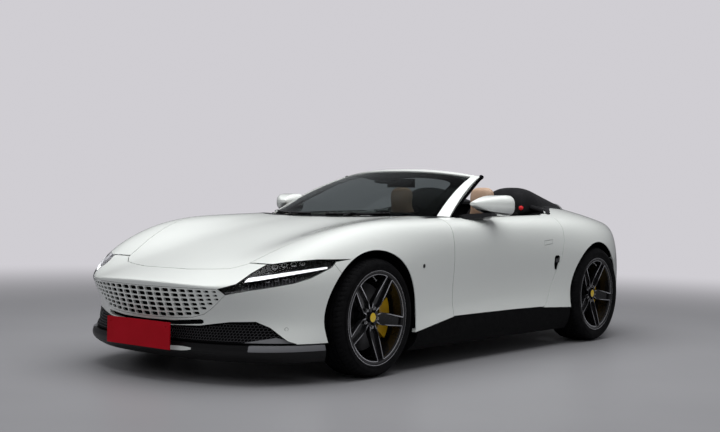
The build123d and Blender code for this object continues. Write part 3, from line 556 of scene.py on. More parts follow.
def tube(path, radius, sides=10, closed=False, flat=1.0):
    """A round strand along a path, or an oval one when flat is not 1."""
    path = [Vector(p) for p in path]
    count = len(path)
    radii = radius if isinstance(radius, list) else [radius] * count
    normal = Vector((0, 0, 1))
    vertices = []
    for i, p in enumerate(path):
        before = path[i - 1] if i or closed else p
        after = path[(i + 1) % count] if i < count - 1 or closed else p
        ahead = (after - before).normalized()
        if abs(ahead.dot(normal)) > 0.98:
            normal = Vector((1, 0, 0))
        side = ahead.cross(normal).normalized()
        normal = side.cross(ahead).normalized()
        for j in range(sides):
            a = 2 * math.pi * j / sides
            vertices.append(p + radii[i] * (math.cos(a) * side + flat * math.sin(a) * normal))
    faces = grid_faces(count, sides, loop=True)
    if closed:
        last = (count - 1) * sides
        faces += [(last + j, last + (j + 1) % sides, (j + 1) % sides, j) for j in range(sides)]
    else:
        faces += [tuple(range(sides)), tuple(range(count * sides - sides, count * sides))]
    return vertices, faces


def smooth_path(points, steps=6, closed=False):
    """A Catmull-Rom curve through points."""
    points = [Vector(p) for p in points]
    count = len(points)
    spans = count if closed else count - 1
    path = []
    for i in range(spans):
        if closed:
            a, b, c, d = (points[(i + k) % count] for k in (-1, 0, 1, 2))
        else:
            a, b, c, d = (points[min(max(i + k, 0), count - 1)] for k in (-1, 0, 1, 2))
        for s in range(steps):
            t = s / steps
            path.append(0.5 * (2 * b + (c - a) * t + (2 * a - 5 * b + 4 * c - d) * t * t
                               + (3 * b - a - 3 * c + d) * t ** 3))
    if not closed:
        path.append(points[-1])
    return path


def landed(tree, start, way):
    """Where a ray meets the surface, and the surface's direction there, turned to face the ray."""
    place, normal, _, _ = tree.ray_cast(Vector(start), Vector(way).normalized())
    if place is None:
        return None, None
    return place, (-normal if normal.dot(Vector(way)) > 0 else normal)


def draped(outline, to_space, way, tree, lift, thick, cell):
    """A flat outline cut into cells and laid on a surface as a thin closed shell."""
    bm = bmesh.new()
    bm.faces.new([bm.verts.new((u, v, 0)) for u, v in outline])
    us, vs = [p[0] for p in outline], [p[1] for p in outline]
    for low, high, normal in ((min(us), max(us), (1, 0, 0)), (min(vs), max(vs), (0, 1, 0))):
        steps = max(int((high - low) / cell), 1)
        for i in range(1, steps):
            at = low + (high - low) * i / steps
            bmesh.ops.bisect_plane(bm, geom=bm.verts[:] + bm.edges[:] + bm.faces[:],
                                   plane_co=Vector(normal) * at, plane_no=normal)
    bm.verts.index_update()
    tops, lows, keep = [], [], []
    for v in bm.verts:
        place, normal = landed(tree, to_space(v.co.x, v.co.y), way)
        keep.append(place is not None)
        place, normal = place or Vector(), normal or Vector()
        tops.append(place + normal * lift)
        lows.append(place + normal * (lift - thick))
    count = len(tops)
    faces = []
    for f in bm.faces:
        ring = [v.index for v in f.verts]
        if all(keep[i] for i in ring):
            faces += [tuple(ring), tuple(count + i for i in reversed(ring))]
    shown = [f for f in bm.faces if all(keep[v.index] for v in f.verts)]
    for f in shown:
        for e in f.edges:
            if sum(g in shown for g in e.link_faces) == 1:
                a, b = (v.index for v in e.verts)
                faces.append((a, b, count + b, count + a))
    bm.free()
    return tops + lows, faces


def button(place, normal, profile, sides=28):
    """A small turned shape (height above the surface, radius) standing on a surface."""
    vertices, faces = lathe(profile, sides)
    turn = Vector((1, 0, 0)).rotation_difference(Vector(normal))
    return [Vector(place) + turn @ Vector(v) for v in vertices], faces


def mirrored(mesh):
    vertices, faces = mesh
    return [(-v[0], v[1], v[2]) for v in vertices], [tuple(reversed(f)) for f in faces]


def left_and_right(name, mesh, body, slot, material=None, **more):
    """The same piece on both sides of the car."""
    for side, shape in (("left", mesh), ("right", mirrored(mesh))):
        place = body.replace("left", side)
        piece_of(f"{name}_{side}", *shape, place, slot, material, **more)


RAY_SIDE = 1.3  # rays aimed at the car's side start here
ARCH_INNER = 0.80  # body skin further in than this is not the arch's edge


# ---- wheels ---------------------------------------------------------------
RIM_INSET = 0.016  # how far the rim's edge lies inside the tyre's side
LIP = 0.246  # radius where a spoke meets the rim's edge
SPOKES = 5
SPOKE_STEP = 72  # degrees from one spoke to the next
SPOKE_TURN = -26.5  # of the first spoke, from straight up
SPOKE_HALF = 0.0255  # half a spoke's width at the lip
RIM_RADIUS = 0.264
EDGE_RADIUS = 0.2485  # of the bright line along the lip
BOLT_CIRCLE = 0.057
VALVE_RADIUS = 0.241
ROUND = 120  # steps round a rim


def wheel_of(end):
    """(middle, radius, width) of a left wheel."""
    low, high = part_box(f"tyre_{end}_left")
    return (Vector(low) + Vector(high)) / 2, (high[2] - low[2]) / 2, high[0] - low[0]


def tread_section(radius, width):
    """Points (x, radius, how deep the cross grooves are) over a tyre from one bead to the other."""
    wall = width / 2
    swell = (RIM_RADIUS + radius) / 2
    side = [(wall - 0.023, 0.256, 0), (wall - 0.0225, 0.266, 0), (wall - 0.012, 0.272, 0),
            (wall - 0.0045, 0.279, 0), (wall - 0.006, 0.283, 0), (wall - 0.003, 0.290, 0),
            (wall - 0.0003, swell - 0.003, 0), (wall - 0.0012, swell, 0),
            (wall - 0.0004, swell + 0.003, 0), (wall - 0.0035, radius - 0.038, 0),
            (wall - 0.007, radius - 0.029, 0), (wall - 0.012, radius - 0.0215, 0.0015),
            (wall - 0.019, radius - 0.0145, 0.003), (wall - 0.027, radius - 0.0092, 0.0045),
            (wall - 0.036, radius - 0.0050, 0.0055), (wall - 0.043, radius - 0.0028, 0.006)]
    half, grooves = wall - 0.050, []
    for middle in (0.74, 0.27):
        at = half * middle
        grooves += [(at + 0.0065, radius - 0.0006, 0.005), (at + 0.005, radius - 0.0008, 0.003),
                    (at + 0.0042, radius - 0.0078, 0), (at - 0.0042, radius - 0.0078, 0),
                    (at - 0.005, radius - 0.0006, 0.003), (at - 0.0065, radius - 0.0003, 0.0035)]
        if middle == 0.74:
            grooves += [(half * 0.5, radius - 0.0002, 0.0035)]
    left = side + grooves
    return left + [(0, radius, 0)] + [(-x, r, d) for x, r, d in reversed(left)]


def make_tyre(end):
    middle, radius, width = wheel_of(end)
    section = tread_section(radius, width)
    inner = [(-width / 2 + 0.030, 0.256), (-width / 2 + 0.018, 0.300),
             (-width / 2 + 0.05, radius - 0.02), (width / 2 - 0.05, radius - 0.02),
             (width / 2 - 0.018, 0.300), (width / 2 - 0.030, 0.256)]
    steps, block = 432, 6
    count = len(section) + len(inner)
    vertices = []
    for i in range(steps):
        a = 2 * math.pi * i / steps
        for x, r, deep in section:
            slant = round(abs(x) * 60)  # the cross grooves lean as they run inwards
            cut = deep if (i + slant) % block == 0 else 0
            vertices.append((x, (r - cut) * math.cos(a), (r - cut) * math.sin(a)))
        vertices += [(x, r * math.cos(a), r * math.sin(a)) for x, r in inner]
    faces = grid_faces(steps, count, loop=True)
    last = (steps - 1) * count
    faces += [(last + j, last + (j + 1) % count, (j + 1) % count, j) for j in range(count)]
    for side in ("left", "right"):
        place = Vector((middle.x if side == "left" else -middle.x, middle.y, middle.z))
        piece = piece_of(f"tread_{end}_{side}", moved(vertices, place, side == "right"), faces,
                         f"wheel_{end}_{side}", "tyre")
        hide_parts(f"tyre_{end}_{side}")


def dish(edge, r):
    """How far out the spokes' front surface is at a radius."""
    return np.interp(r, [0.044, 0.075, 0.190, LIP],
                     [edge - 0.042, edge - 0.038, edge - 0.014, edge - 0.003])


def window_outline(edge, k):
    """The bright edge round the window between two spokes."""
    def on_spoke(turn, across, r):
        t = math.radians(turn)
        return (dish(edge, r), across * math.cos(t) - r * math.sin(t),
                across * math.sin(t) + r * math.cos(t))

    here, there = SPOKE_TURN + SPOKE_STEP * k, SPOKE_TURN + SPOKE_STEP * (k + 1)
    edge_line = [(0.0215, 0.050), (0.0300, 0.075), (0.0345, 0.098), (0.0335, 0.125),
                 (0.0295, 0.180), (SPOKE_HALF, 0.243)]
    path = [on_spoke(here, -a, r) for a, r in edge_line]
    arc_from = math.radians(90 + here) + SPOKE_HALF / LIP + 0.02
    arc_to = math.radians(90 + there) - SPOKE_HALF / LIP - 0.02
    for i in range(13):
        a = arc_from + (arc_to - arc_from) * i / 12
        path.append((edge - 0.0012, EDGE_RADIUS * math.cos(a), EDGE_RADIUS * math.sin(a)))
    return path + [on_spoke(there, a, r) for a, r in reversed(edge_line)]


def make_wheel(end):
    middle, _, width = wheel_of(end)
    edge = width / 2 - RIM_INSET
    lines = [ribbon(window_outline(edge, k), [(1, 0, 0)] * 25, 0.0058,
                    0.0009) for k in range(SPOKES)]
    # a thin bright ring on the rim's outer flange, a painted highlight; the flange itself is dark
    flange = lathe([(edge + 0.0012, 0.2670), (edge + 0.0036, 0.2676), (edge + 0.0036, 0.2702),
                    (edge + 0.0012, 0.2710)],
                   ROUND, closed=True)
    bead = lathe([(edge - 0.0010, 0.2590), (edge + 0.0008, 0.2600), (edge + 0.0024, 0.2640),
                  (edge + 0.0028, 0.2674), (edge - 0.0010, 0.2674)], ROUND, closed=True)
    dome = [(edge - 0.0338, 0.0265), (edge - 0.0322, 0.0262), (edge - 0.0316, 0.020),
            (edge - 0.0312, 0.010), (edge - 0.0311, 0.0005)]
    ring = [(edge - 0.034, 0.0300), (edge - 0.0315, 0.0296), (edge - 0.0312, 0.0282),
            (edge - 0.0318, 0.0266), (edge - 0.034, 0.0262)]
    bolts = []
    for k in range(SPOKES):
        a = math.radians(SPOKE_STEP / 2 - SPOKE_TURN + SPOKE_STEP * k)
        head = [(0, 0.0112), (0.0015, 0.0112), (0.0022, 0.0088), (0.0085, 0.0084), (0.0095, 0.0072),
                (0.0095, 0.0045), (0.006, 0.0043), (0.006, 0.0004)]
        bolts.append(button((edge - 0.047, BOLT_CIRCLE * math.cos(a), BOLT_CIRCLE * math.sin(a)),
                            (1, 0, 0), head, 12))
    t = math.radians(SPOKE_TURN + SPOKE_STEP / 2 + 90)
    valve = button((edge - 0.010, VALVE_RADIUS * math.cos(t), VALVE_RADIUS * math.sin(t)),
                   (0.9, -math.cos(t), -math.sin(t)),
                   [(0, 0.0045), (0.004, 0.0045), (0.006, 0.0032), (0.024, 0.0032), (0.025, 0.0042),
                    (0.034, 0.0042), (0.036, 0.003), (0.036, 0.0003)], 12)
    for side in ("left", "right"):
        other = side == "right"
        place = Vector((-middle.x if other else middle.x, middle.y, middle.z))
        body = f"wheel_{end}_{side}"
        # the spoke edges piece also carries the flange's painted highlight ring
        for name, mesh, slot, material in (
                ("spoke_edges", merged(*lines, flange), "rim", "machined"),
                ("rim_bead", bead, "rim", None),
                ("cap_ring", lathe(ring, 40), "rim", None),
                ("cap", lathe(dome, 40), "caliper", "cap_yellow"),
                ("wheel_bolts", merged(*bolts), "steel_bright", None),
                ("valve", valve, "steel_bright", None)):
            vertices, faces = mesh
            piece_of(f"{name}_{end}_{side}", moved(vertices, place, other), faces, body, slot,
                     material)


# ---- nose and lamps -------------------------------------------------------
NOSE_Y = CAD_BOX[0][1]
RAY_FRONT = NOSE_Y - 0.3  # rays aimed at the nose start here
LAMP_OUT = Vector((1, -1, 0)).normalized()
LIGHT_BAR = [(0.575, 0.557), (0.640, 0.566), (1.062, 0.634), (1.068, 0.641), (1.000, 0.636),
             (0.800, 0.610), (0.598, 0.578)]


def on_lamp_plane(u, v):
    """A point in front of the left lamp, from its place along the lamp and its height."""
    flat = u / math.sqrt(2)
    return Vector((flat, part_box("front_bumper")[0][1] + flat, v)) + LAMP_OUT * 0.6


def make_lamps():
    tray = tree_of("headlamps")
    cover = tree_of("headlamp_covers")
    bar = draped(LIGHT_BAR, on_lamp_plane, -LAMP_OUT, cover, -0.0050, 0.0012, 0.02)
    left_and_right("light_bar", bar, "root", "lamp_black", "light_white")
    lenses, rings, ribs = [], [], []
    for u, v, size in ((0.742, 0.628, 0.017), (0.792, 0.638, 0.017), (0.842, 0.645, 0.016),
                       (0.890, 0.650, 0.014), (0.700, 0.560, 0.014), (0.748, 0.566, 0.014),
                       (0.796, 0.573, 0.013)):
        place, normal = landed(tray, on_lamp_plane(u, v), -LAMP_OUT)
        if place is None:
            continue
        rings.append(button(place, normal, [(-0.001, size), (0.004, size), (0.0048, size * 0.93),
                                            (0.0042, size * 0.84), (0.001, size * 0.8),
                                            (-0.001, size * 0.8)]))
        lenses.append(button(place, normal,
                             [(0.0006, size * 0.8), (0.0022, size * 0.7), (0.0036, size * 0.42),
                              (0.0041, 0.0004)], 20))
    for i in range(26):
        u = 0.60 + 0.018 * i
        low = 0.512 + 0.17 * (u - 0.60)
        points = [landed(tray, on_lamp_plane(u, low + 0.006 * k), -LAMP_OUT) for k in range(5)]
        if all(p[0] is not None for p in points):
            ribs.append(ribbon([p + n * 0.0003 for p, n in points], [n for _, n in points], 0.003,
                               0.0025))
    left_and_right("lamp_rings", merged(*rings), "root", "lamp_black", "machined")
    left_and_right("lamp_lenses", merged(*lenses), "root", "lamp_clear", "lens")
    left_and_right("lamp_ribs", merged(*ribs), "root", "lamp_black", "steel_dark")


INTAKE = [(0, 0.285), (0.371, 0.303), (0.528, 0.329), (0.649, 0.335), (0.704, 0.308),
          (0.780, 0.243), (0.800, 0.229), (0, 0.229)]


def within(outline, x, z):
    """Whether a point lies inside an outline."""
    hit = False
    for (x0, z0), (x1, z1) in zip(outline, outline[1:] + outline[:1]):
        if (z0 > z) != (z1 > z) and x < x0 + (x1 - x0) * (z - z0) / (z1 - z0):
            hit = not hit
    return hit


def make_intake_mesh():
    """A honeycomb of thin walls over the lower intake."""
    tree = tree_of("intake")
    size = 0.0095
    wires = []
    for row in range(14):
        for column in range(-52, 53):
            x = column * size * math.sqrt(3) + (row % 2) * size * math.sqrt(3) / 2
            z = 0.228 + row * size * 1.5
            for k in range(3):
                ends = []
                for corner in (k, k + 1):
                    a = math.radians(90 + 60 * corner)
                    px, pz = x + size * math.cos(a), z + size * math.sin(a)
                    if within(INTAKE, abs(px), pz):
                        ends.append(landed(tree, (px, RAY_FRONT, pz), (0, 1, 0)))
                if len(ends) == 2 and all(p is not None for p, _ in ends):
                    wires.append(ribbon([p for p, _ in ends], [n for _, n in ends], 0.0022, 0.0032))
    piece_of("intake_mesh", *merged(*wires), "root", "mesh_black", "steel_dark", smooth=False)


def make_nose():
    bumper = tree_of("front_bumper")
    for side in (1, -1):
        place, normal = landed(bumper, (side * 0.772, RAY_FRONT, 0.304), (0, 1, 0))
        disc = button(place, normal, [(-0.001, 0.0088), (0.0004, 0.0088), (0.0006, 0.0078),
                                      (0.0006, 0.0004)])
        ring = button(place, normal, [(-0.001, 0.0104), (0.0003, 0.0104), (0.0003, 0.0088),
                                      (-0.001, 0.0088)])
        name = f"sensor_0_{'left' if side > 0 else 'right'}"
        piece_of(name, *disc, "root", "white_paint")
        piece_of(f"{name}_ring", *ring, "root", "black_trim")
    # the grey blade over the intake's outer corners
    blade = [(0.610, 0.2285), (0.735, 0.257), (0.770, 0.247), (0.800, 0.2285)]
    shape = draped(blade, lambda u, v: Vector((u, RAY_FRONT, v)), (0, 1, 0), tree_of("intake"),
                   0.0060, 0.005, 0.02)
    left_and_right("intake_blade", shape, "root", "black_trim", "blade_grey")
    # a white strip on the middle of the splitter, a painted highlight along its front edge,
    # tapering to its ends
    tree = tree_of("front_splitter")
    path, ups, widths = [], [], []
    for i in range(33):
        x = -0.345 + 0.0215 * i
        place, normal = landed(tree, (x, RAY_FRONT, 0.181 + 0.05 * x * x), (0, 1, 0))
        if place is not None:
            path.append(place)
            ups.append(normal)
            widths.append(0.024 * min(1.0, 0.12 + (0.346 - abs(x)) / 0.07) ** 0.5)
    piece_of("splitter_highlight_strip", *ribbon(path, ups, widths, 0.0035), "root", "white_paint")


def make_side_details():
    wing = tree_of("wing_left")
    place, normal = landed(wing, (RAY_SIDE, -0.933, 0.623), (-1, 0, 0))
    marker = button(place, normal,
                    [(-0.001, 0.0125), (0.0016, 0.0125), (0.0022, 0.0105), (0.0016, 0.0085),
                     (0.0024, 0.0050), (0.0026, 0.0004)])
    left_and_right("side_marker", marker, "root", "black_trim")
    # the flush handle at the door's rear edge and the lever in it
    side = lambda u, v: Vector((RAY_SIDE, u, v))
    handle = [(0.672, 0.640), (0.676, 0.592), (0.690, 0.556), (0.708, 0.552), (0.716, 0.590),
              (0.732, 0.592), (0.733, 0.646), (0.715, 0.655), (0.682, 0.653)]
    shape = draped(handle, side, (-1, 0, 0), tree_of("door_left"), 0.0022, 0.004, 0.015)
    left_and_right("door_handle", shape, "door_left", "black_trim", "print_black")
    lever = [(0.680, 0.632), (0.684, 0.606), (0.724, 0.608), (0.725, 0.634)]
    shape = draped(lever, side, (-1, 0, 0), tree_of("door_left"), 0.0060, 0.005, 0.015)
    left_and_right("door_lever", shape, "door_left", "black_trim", "steel_dark")


def make_seals():
    """Black rubber along the windscreen pillars, the doors' tops and round the wheel arches."""
    pillar = tree_of("windscreen_frame")
    path = []
    for i in range(24):
        z = 0.926 + 0.0115 * i
        place = landed(pillar, (0.741 - (z - 0.923) * 0.51, 0.70, z), (0, -1, 0))[0]
        if place is not None:
            path.append(place + Vector((0.004, 0.002, -0.004)))
    tip = [path[-1], path[-1] + Vector((-0.004, 0.020, 0.010)),
           path[-1] + Vector((-0.008, 0.044, 0.012))]
    seal = merged(tube(path, 0.0115, 10), tube(tip, [0.014, 0.017, 0.009], 10))
    left_and_right("pillar_seal", seal, "root", "soft_black", "print_black")
    door = tree_of("door_left")
    line = [landed(door, (0.8005, -0.40 + 0.055 * i, 1.2), (0, 0, -1)) for i in range(21)]
    line = [p for p, _ in line if p is not None]
    strip = ribbon(line, [(0, 0, 1)] * len(line), 0.018, 0.008)
    left_and_right("door_top_seal", strip, "door_left", "soft_black", "print_black")
    for end, skins in (("front", ("wing_left", "front_bumper")),
                       ("rear", ("rear_quarter_left", "rear_bumper"))):
        low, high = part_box(f"tyre_{end}_left")
        centre = Vector((RAY_SIDE, (low[1] + high[1]) / 2, (low[2] + high[2]) / 2))
        skin = tree_of(*skins)
        ring = []
        for i in range(73):
            a = math.radians(-30 + 240 * i / 72)
            out = Vector((0, math.cos(a), math.sin(a)))
            for step in range(60):  # outwards from the tyre until the skin begins
                reach = (high[2] - low[2]) / 2 + 0.002 * step
                face = landed(skin, centre + out * reach, (-1, 0, 0))[0]
                if face is not None and face.x > ARCH_INNER:
                    ring.append((Vector((face.x - 0.028, face.y, face.z)) - out * 0.003, -out))
                    break
        left_and_right(f"arch_liner_{end}",
                       ribbon([p for p, _ in ring], [n for _, n in ring], 0.050, 0.003), "root",
                       "soft_black", "print_black")


def make_tail():
    """Lamp details, blank plate, third brake lamp, sensors and reflectors at the back."""
    behind = lambda u, v: Vector((u, CAD_BOX[1][1] + 0.2, v))
    ahead = (0, -1, 0)
    bumper = tree_of("rear_bumper", "boot_lid")
    plate = [(-0.260, 0.560), (0.260, 0.560), (0.260, 0.672), (-0.260, 0.672)]
    piece_of("rear_plate_blank", *draped(plate, behind, ahead, bumper, 0.0060, 0.005, 0.03), "root",
             "plate", "tip_grey")
    recess = [(-0.285, 0.545), (0.285, 0.545), (0.310, 0.690), (-0.310, 0.690)]
    piece_of("rear_plate_surround", *draped(recess, behind, ahead, bumper, 0.0020, 0.003, 0.03),
             "root", "black_trim",
             "print_black")
    lamp = tree_of("tail_lamps")
    for name, low, high, slot, material in (("tail_light_line", 0.803, 0.810, "lamp_red",
                                             "belt_red"),
                                            ("tail_light_edge", 0.784, 0.789, "black_trim",
                                             "print_black")):
        path = [landed(lamp, (0.50 + 0.01 * i, CAD_BOX[1][1] + 0.2, low), ahead) for i in range(29)]
        path = [(p, n) for p, n in path if p is not None]
        if len(path) > 4:
            left_and_right(name, ribbon([p for p, _ in path], [n for _, n in path], high - low,
                                        0.002), "root", slot,
                           material)
    for name, z, half, tall, slot, material in (("third_brake_lamp", 0.835, 0.130, 0.007,
                                                 "lamp_red", "belt_red"),
                                                ("rear_shut_line", 0.420, 0.560, 0.004,
                                                 "black_trim", "print_black")):
        path = [landed(bumper, (half * (i / 20 - 1), CAD_BOX[1][1] + 0.2, z),
                       ahead) for i in range(41)]
        path = [(p, n) for p, n in path if p is not None]
        piece_of(name, *ribbon([p for p, _ in path], [n for _, n in path], tall, 0.0015), "root",
                 slot, material)
    for i, x in enumerate((0.28, 0.62)):
        place, normal = landed(bumper, behind(x, 0.470), ahead)
        disc = button(place, normal, [(-0.001, 0.0104), (0.0004, 0.0104), (0.0006, 0.0088),
                                      (0.0006, 0.0004)])
        left_and_right(f"rear_sensor_{i}", disc, "root", "black_trim")
    reflector = [(0.660, 0.408), (0.760, 0.408), (0.755, 0.424), (0.664, 0.424)]
    left_and_right("reflector", draped(reflector, behind, ahead, bumper, 0.0025, 0.003, 0.02),
                   "root", "lamp_red",
                   "belt_red")


def make_engine_cover():
    """Ribbed covers over the engine's two banks, seen with the bonnet up."""
    low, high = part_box("engine")
    middle, half = (low[1] + high[1]) / 2, (high[1] - low[1]) / 2 - 0.03
    covers, ribs = [], []
    for x in (-0.62, 0.62):
        x *= high[0]
        ends = [(x, middle - half, high[2]), (x, middle + half, high[2])]
        covers.append(ribbon(ends, [(0, 0, 1)] * 2, 0.40 * high[0], 0.004))
        for k in range(9):
            y = middle + half * (k - 4) / 4.6
            ribs.append(ribbon([(x - 0.17 * high[0], y, high[2] + 0.004),
                                (x + 0.17 * high[0], y, high[2] + 0.004)],
                               [(0, 0, 1)] * 2, 0.008, 0.003))
    piece_of("engine_covers", *merged(*covers), "root", "black_trim")
    piece_of("engine_ribs", *merged(*ribs), "root", "steel_bright", "machined")


# ---- windscreen, mirrors, wipers ------------------------------------------
SCREEN_FOOT = -0.800
HEADER_Y = 0.095
HEADER_Z = 1.252


def screen_point(u, v, drop=0.0):
    """A point on the windscreen: u across, v from its foot to its header."""
    share = abs(u)
    foot = Vector((0.775 * u, SCREEN_FOOT + 0.370 * share**2.6, 0.905 + 0.008 * u * u))
    head = Vector((0.606 * u, HEADER_Y + 0.100 * share**2.2, HEADER_Z - 0.052 * share**2.4))
    return foot + (head - foot) * v + Vector((0, -0.35,
                                              0.94)) * (0.104 * v * (1 - v)) - Vector((0, 0, drop))


def make_screen_band():
    """The black printed border inside the glass, wider at the top where the mirror's foot is."""
    rows = []
    count = 160
    outer, inner = [], []
    for i in range(count):
        a = 2 * math.pi * i / count
        c, s = math.cos(a), math.sin(a)
        k = 1 / max(abs(c) ** 8 + abs(s) ** 8, 1e-9) ** (1 / 8)
        u, w = c * k, s * k
        v = 0.463 + 0.463 * w
        shade = 0.10 * math.exp(-(u * 3.2) ** 2) if w > 0.6 else 0
        outer.append(screen_point(0.918 * u, v, 0.0118))
        inner.append(screen_point(0.918 * u * 0.90,
                                  0.463 + 0.463 * w * 0.90 - (0.075 + shade) * (w > 0.6), 0.0118))
    rows = outer + inner
    low = [p - Vector((0, 0, 0.0008)) for p in rows]
    faces = []
    for i in range(count):
        j = (i + 1) % count
        faces.append((i, j, count + j, count + i))
        faces.append((2 * count + i, 3 * count + i, 3 * count + j, 2 * count + j))
        faces.append((i, 2 * count + i, 2 * count + j, j))
        faces.append((count + i, count + j, 3 * count + j, 3 * count + i))
    piece_of("screen_band", rows + low, faces, "root", "black_trim", "print_black")


def make_mirror_mount():
    path = [screen_point(0, v, 0.014 + d) for v,
            d in ((0.70, 0.002), (0.74, 0.012), (0.80, 0.026), (0.88, 0.030))]
    sections = []
    for p, (w, h) in zip(path, ((0.035, 0.002), (0.062, 0.012), (0.070, 0.020), (0.050, 0.016))):
        ring = []
        for j in range(20):
            a = 2 * math.pi * j / 20
            c, s = math.cos(a), math.sin(a)
            ring.append(p + Vector((w * math.copysign(abs(c) ** 0.6, c), 0,
                                    h * math.copysign(abs(s) ** 0.6, s))))
        sections += ring
    faces = grid_faces(len(path), 20, loop=True)
    faces += [tuple(range(20)), tuple(range(60, 80))]
    piece_of("mirror_mount", sections, faces, "root", "black_trim", "print_black")
    low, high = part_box("interior_mirror")
    middle = [(low[i] + high[i]) / 2 for i in range(3)]
    glass = []
    for j in range(40):
        a = 2 * math.pi * j / 40
        c, s = math.cos(a), math.sin(a)
        glass.append((0.106 * math.copysign(abs(c) ** 0.5, c), 0,
                      0.024 * math.copysign(abs(s) ** 0.6, s)))
    front = [(x, high[1] - 0.004, 1.150 + z) for x, _, z in glass]
    back = [(x, high[1] - 0.010, 1.150 + z) for x, _, z in glass]
    faces = [tuple(range(40)), tuple(range(79, 39, -1))] + [(i, (i + 1) % 40, 40 + (i + 1) % 40,
                                                             40 + i)
                                                            for i in range(40)]
    piece_of("interior_mirror_glass", [(x, middle[1] + 0.0145 + (0.0 if y > middle[1] else 0), z)
                                       for x, y, z in front] + back, faces, "root", "steel_bright",
             "mirror_glass")


def make_wipers():
    for side in (1, -1):
        blade = [screen_point(u, v, -0.008) for u, v in
                 (((0.05, 0.012), (0.20, 0.013), (0.36, 0.016), (0.50, 0.021),
                   (0.62, 0.030)) if side > 0 else
                  ((-0.70, 0.036), (-0.58, 0.026), (-0.44, 0.018), (-0.28, 0.014), (-0.12, 0.012)))]
        path = smooth_path(blade, 5)
        ups = [Vector((0, -0.5, 0.86))] * len(path)
        rubber = ribbon([p - Vector((0, 0, 0.004)) for p in path], ups, 0.004, 0.007)
        spine = ribbon([p + Vector((0, 0, 0.003)) for p in path], ups, 0.014, 0.006)
        middle = path[len(path) // 2]
        foot = Vector((0.24 * side - 0.02, SCREEN_FOOT - 0.03 + 0.02, 0.912))
        arm = tube(smooth_path([foot, foot + Vector((0.03 * side, 0.03, 0.018)), (foot + middle) / 2
                                + Vector((0, 0, 0.012)), middle + Vector((0, 0, 0.006))], 5),
                   0.0055, 8, flat=0.7)
        pivot = button(foot - Vector((0, 0, 0.006)), (0, -0.2, 1),
                       [(0, 0.016), (0.010, 0.015), (0.014, 0.010),
                        (0.015, 0.0005)], 20)
        name = "left" if side > 0 else "right"
        piece_of(f"wiper_{name}", *merged(rubber, spine, arm, pivot), "root", "black_trim")


def make_door_mirrors():
    """The glass let into each door mirror's hollow back."""
    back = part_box("mirror_left")[1][1]
    glass = []
    count = 48
    cx, cz, w, h = 0.925, 0.998, 0.094, 0.055
    for depth in (0.006, 0.010):
        for j in range(count):
            a = 2 * math.pi * j / count
            c, s = math.cos(a), math.sin(a)
            glass.append((cx + w * math.copysign(abs(c) ** 0.62, c), back - depth,
                          cz + h * math.copysign(abs(s) ** 0.62, s)))
    faces = [tuple(range(count)), tuple(range(2 * count - 1, count - 1, -1))]
    faces += [(i, (i + 1) % count, count + (i + 1) % count, count + i) for i in range(count)]
    left_and_right("mirror_glass", (glass, faces), "door_left", "steel_bright", "mirror_glass")


# ---- seats ----------------------------------------------------------------
SEAT_X = 0.370


def rounded(w, h, power, count):
    """A rounded rectangle's points, half width w and half height h."""
    ring = []
    for j in range(count):
        a = 2 * math.pi * (j + 0.5) / count
        c, s = math.cos(a), math.sin(a)
        ring.append((w * math.copysign(abs(c) ** (2 / power), c),
                     h * math.copysign(abs(s) ** (2 / power), s)))
    return ring


def padded_form(stations, power=3.2, count=32, rings=22, end=0.03, x=0.0):
    """A closed form with rounded ends, from stations (y, z, half width, half thickness)."""
    centre = smooth_path([(0, y, z) for y, z, _, _ in stations], 8)
    sizes = smooth_path([(0, w, t) for _, _, w, t in stations], 8)
    lengths = [0.0]
    for a, b in zip(centre, centre[1:]):
        lengths.append(lengths[-1] + (b - a).length)
    total = lengths[-1]
    vertices = []
    for i in range(rings):
        share = 0.5 - 0.5 * math.cos(math.pi * i / (rings - 1))
        at = total * (0.35 * share + 0.65 * i / (rings - 1))
        k = min(max(np.searchsorted(lengths, at) - 1, 0), len(centre) - 2)
        f = (at - lengths[k]) / max(lengths[k + 1] - lengths[k], 1e-9)
        p, size = centre[k].lerp(centre[k + 1], f), sizes[k].lerp(sizes[k + 1], f)
        ahead = (centre[k + 1] - centre[k]).normalized()
        out = Vector((1, 0, 0)).cross(ahead)
        near = min(at, total - at) / end
        full = math.sqrt(max(1 - (1 - min(near, 1)) ** 2, 0.04))
        for u, v in rounded(size.y * (0.80 + 0.20 * full), size.z * full, power, count):
            vertices.append(Vector((x + u, p.y, p.z)) + out * v)
    faces = grid_faces(rings, count, loop=True)
    return vertices, faces + [tuple(range(count)), tuple(range((rings - 1) * count, rings * count))]


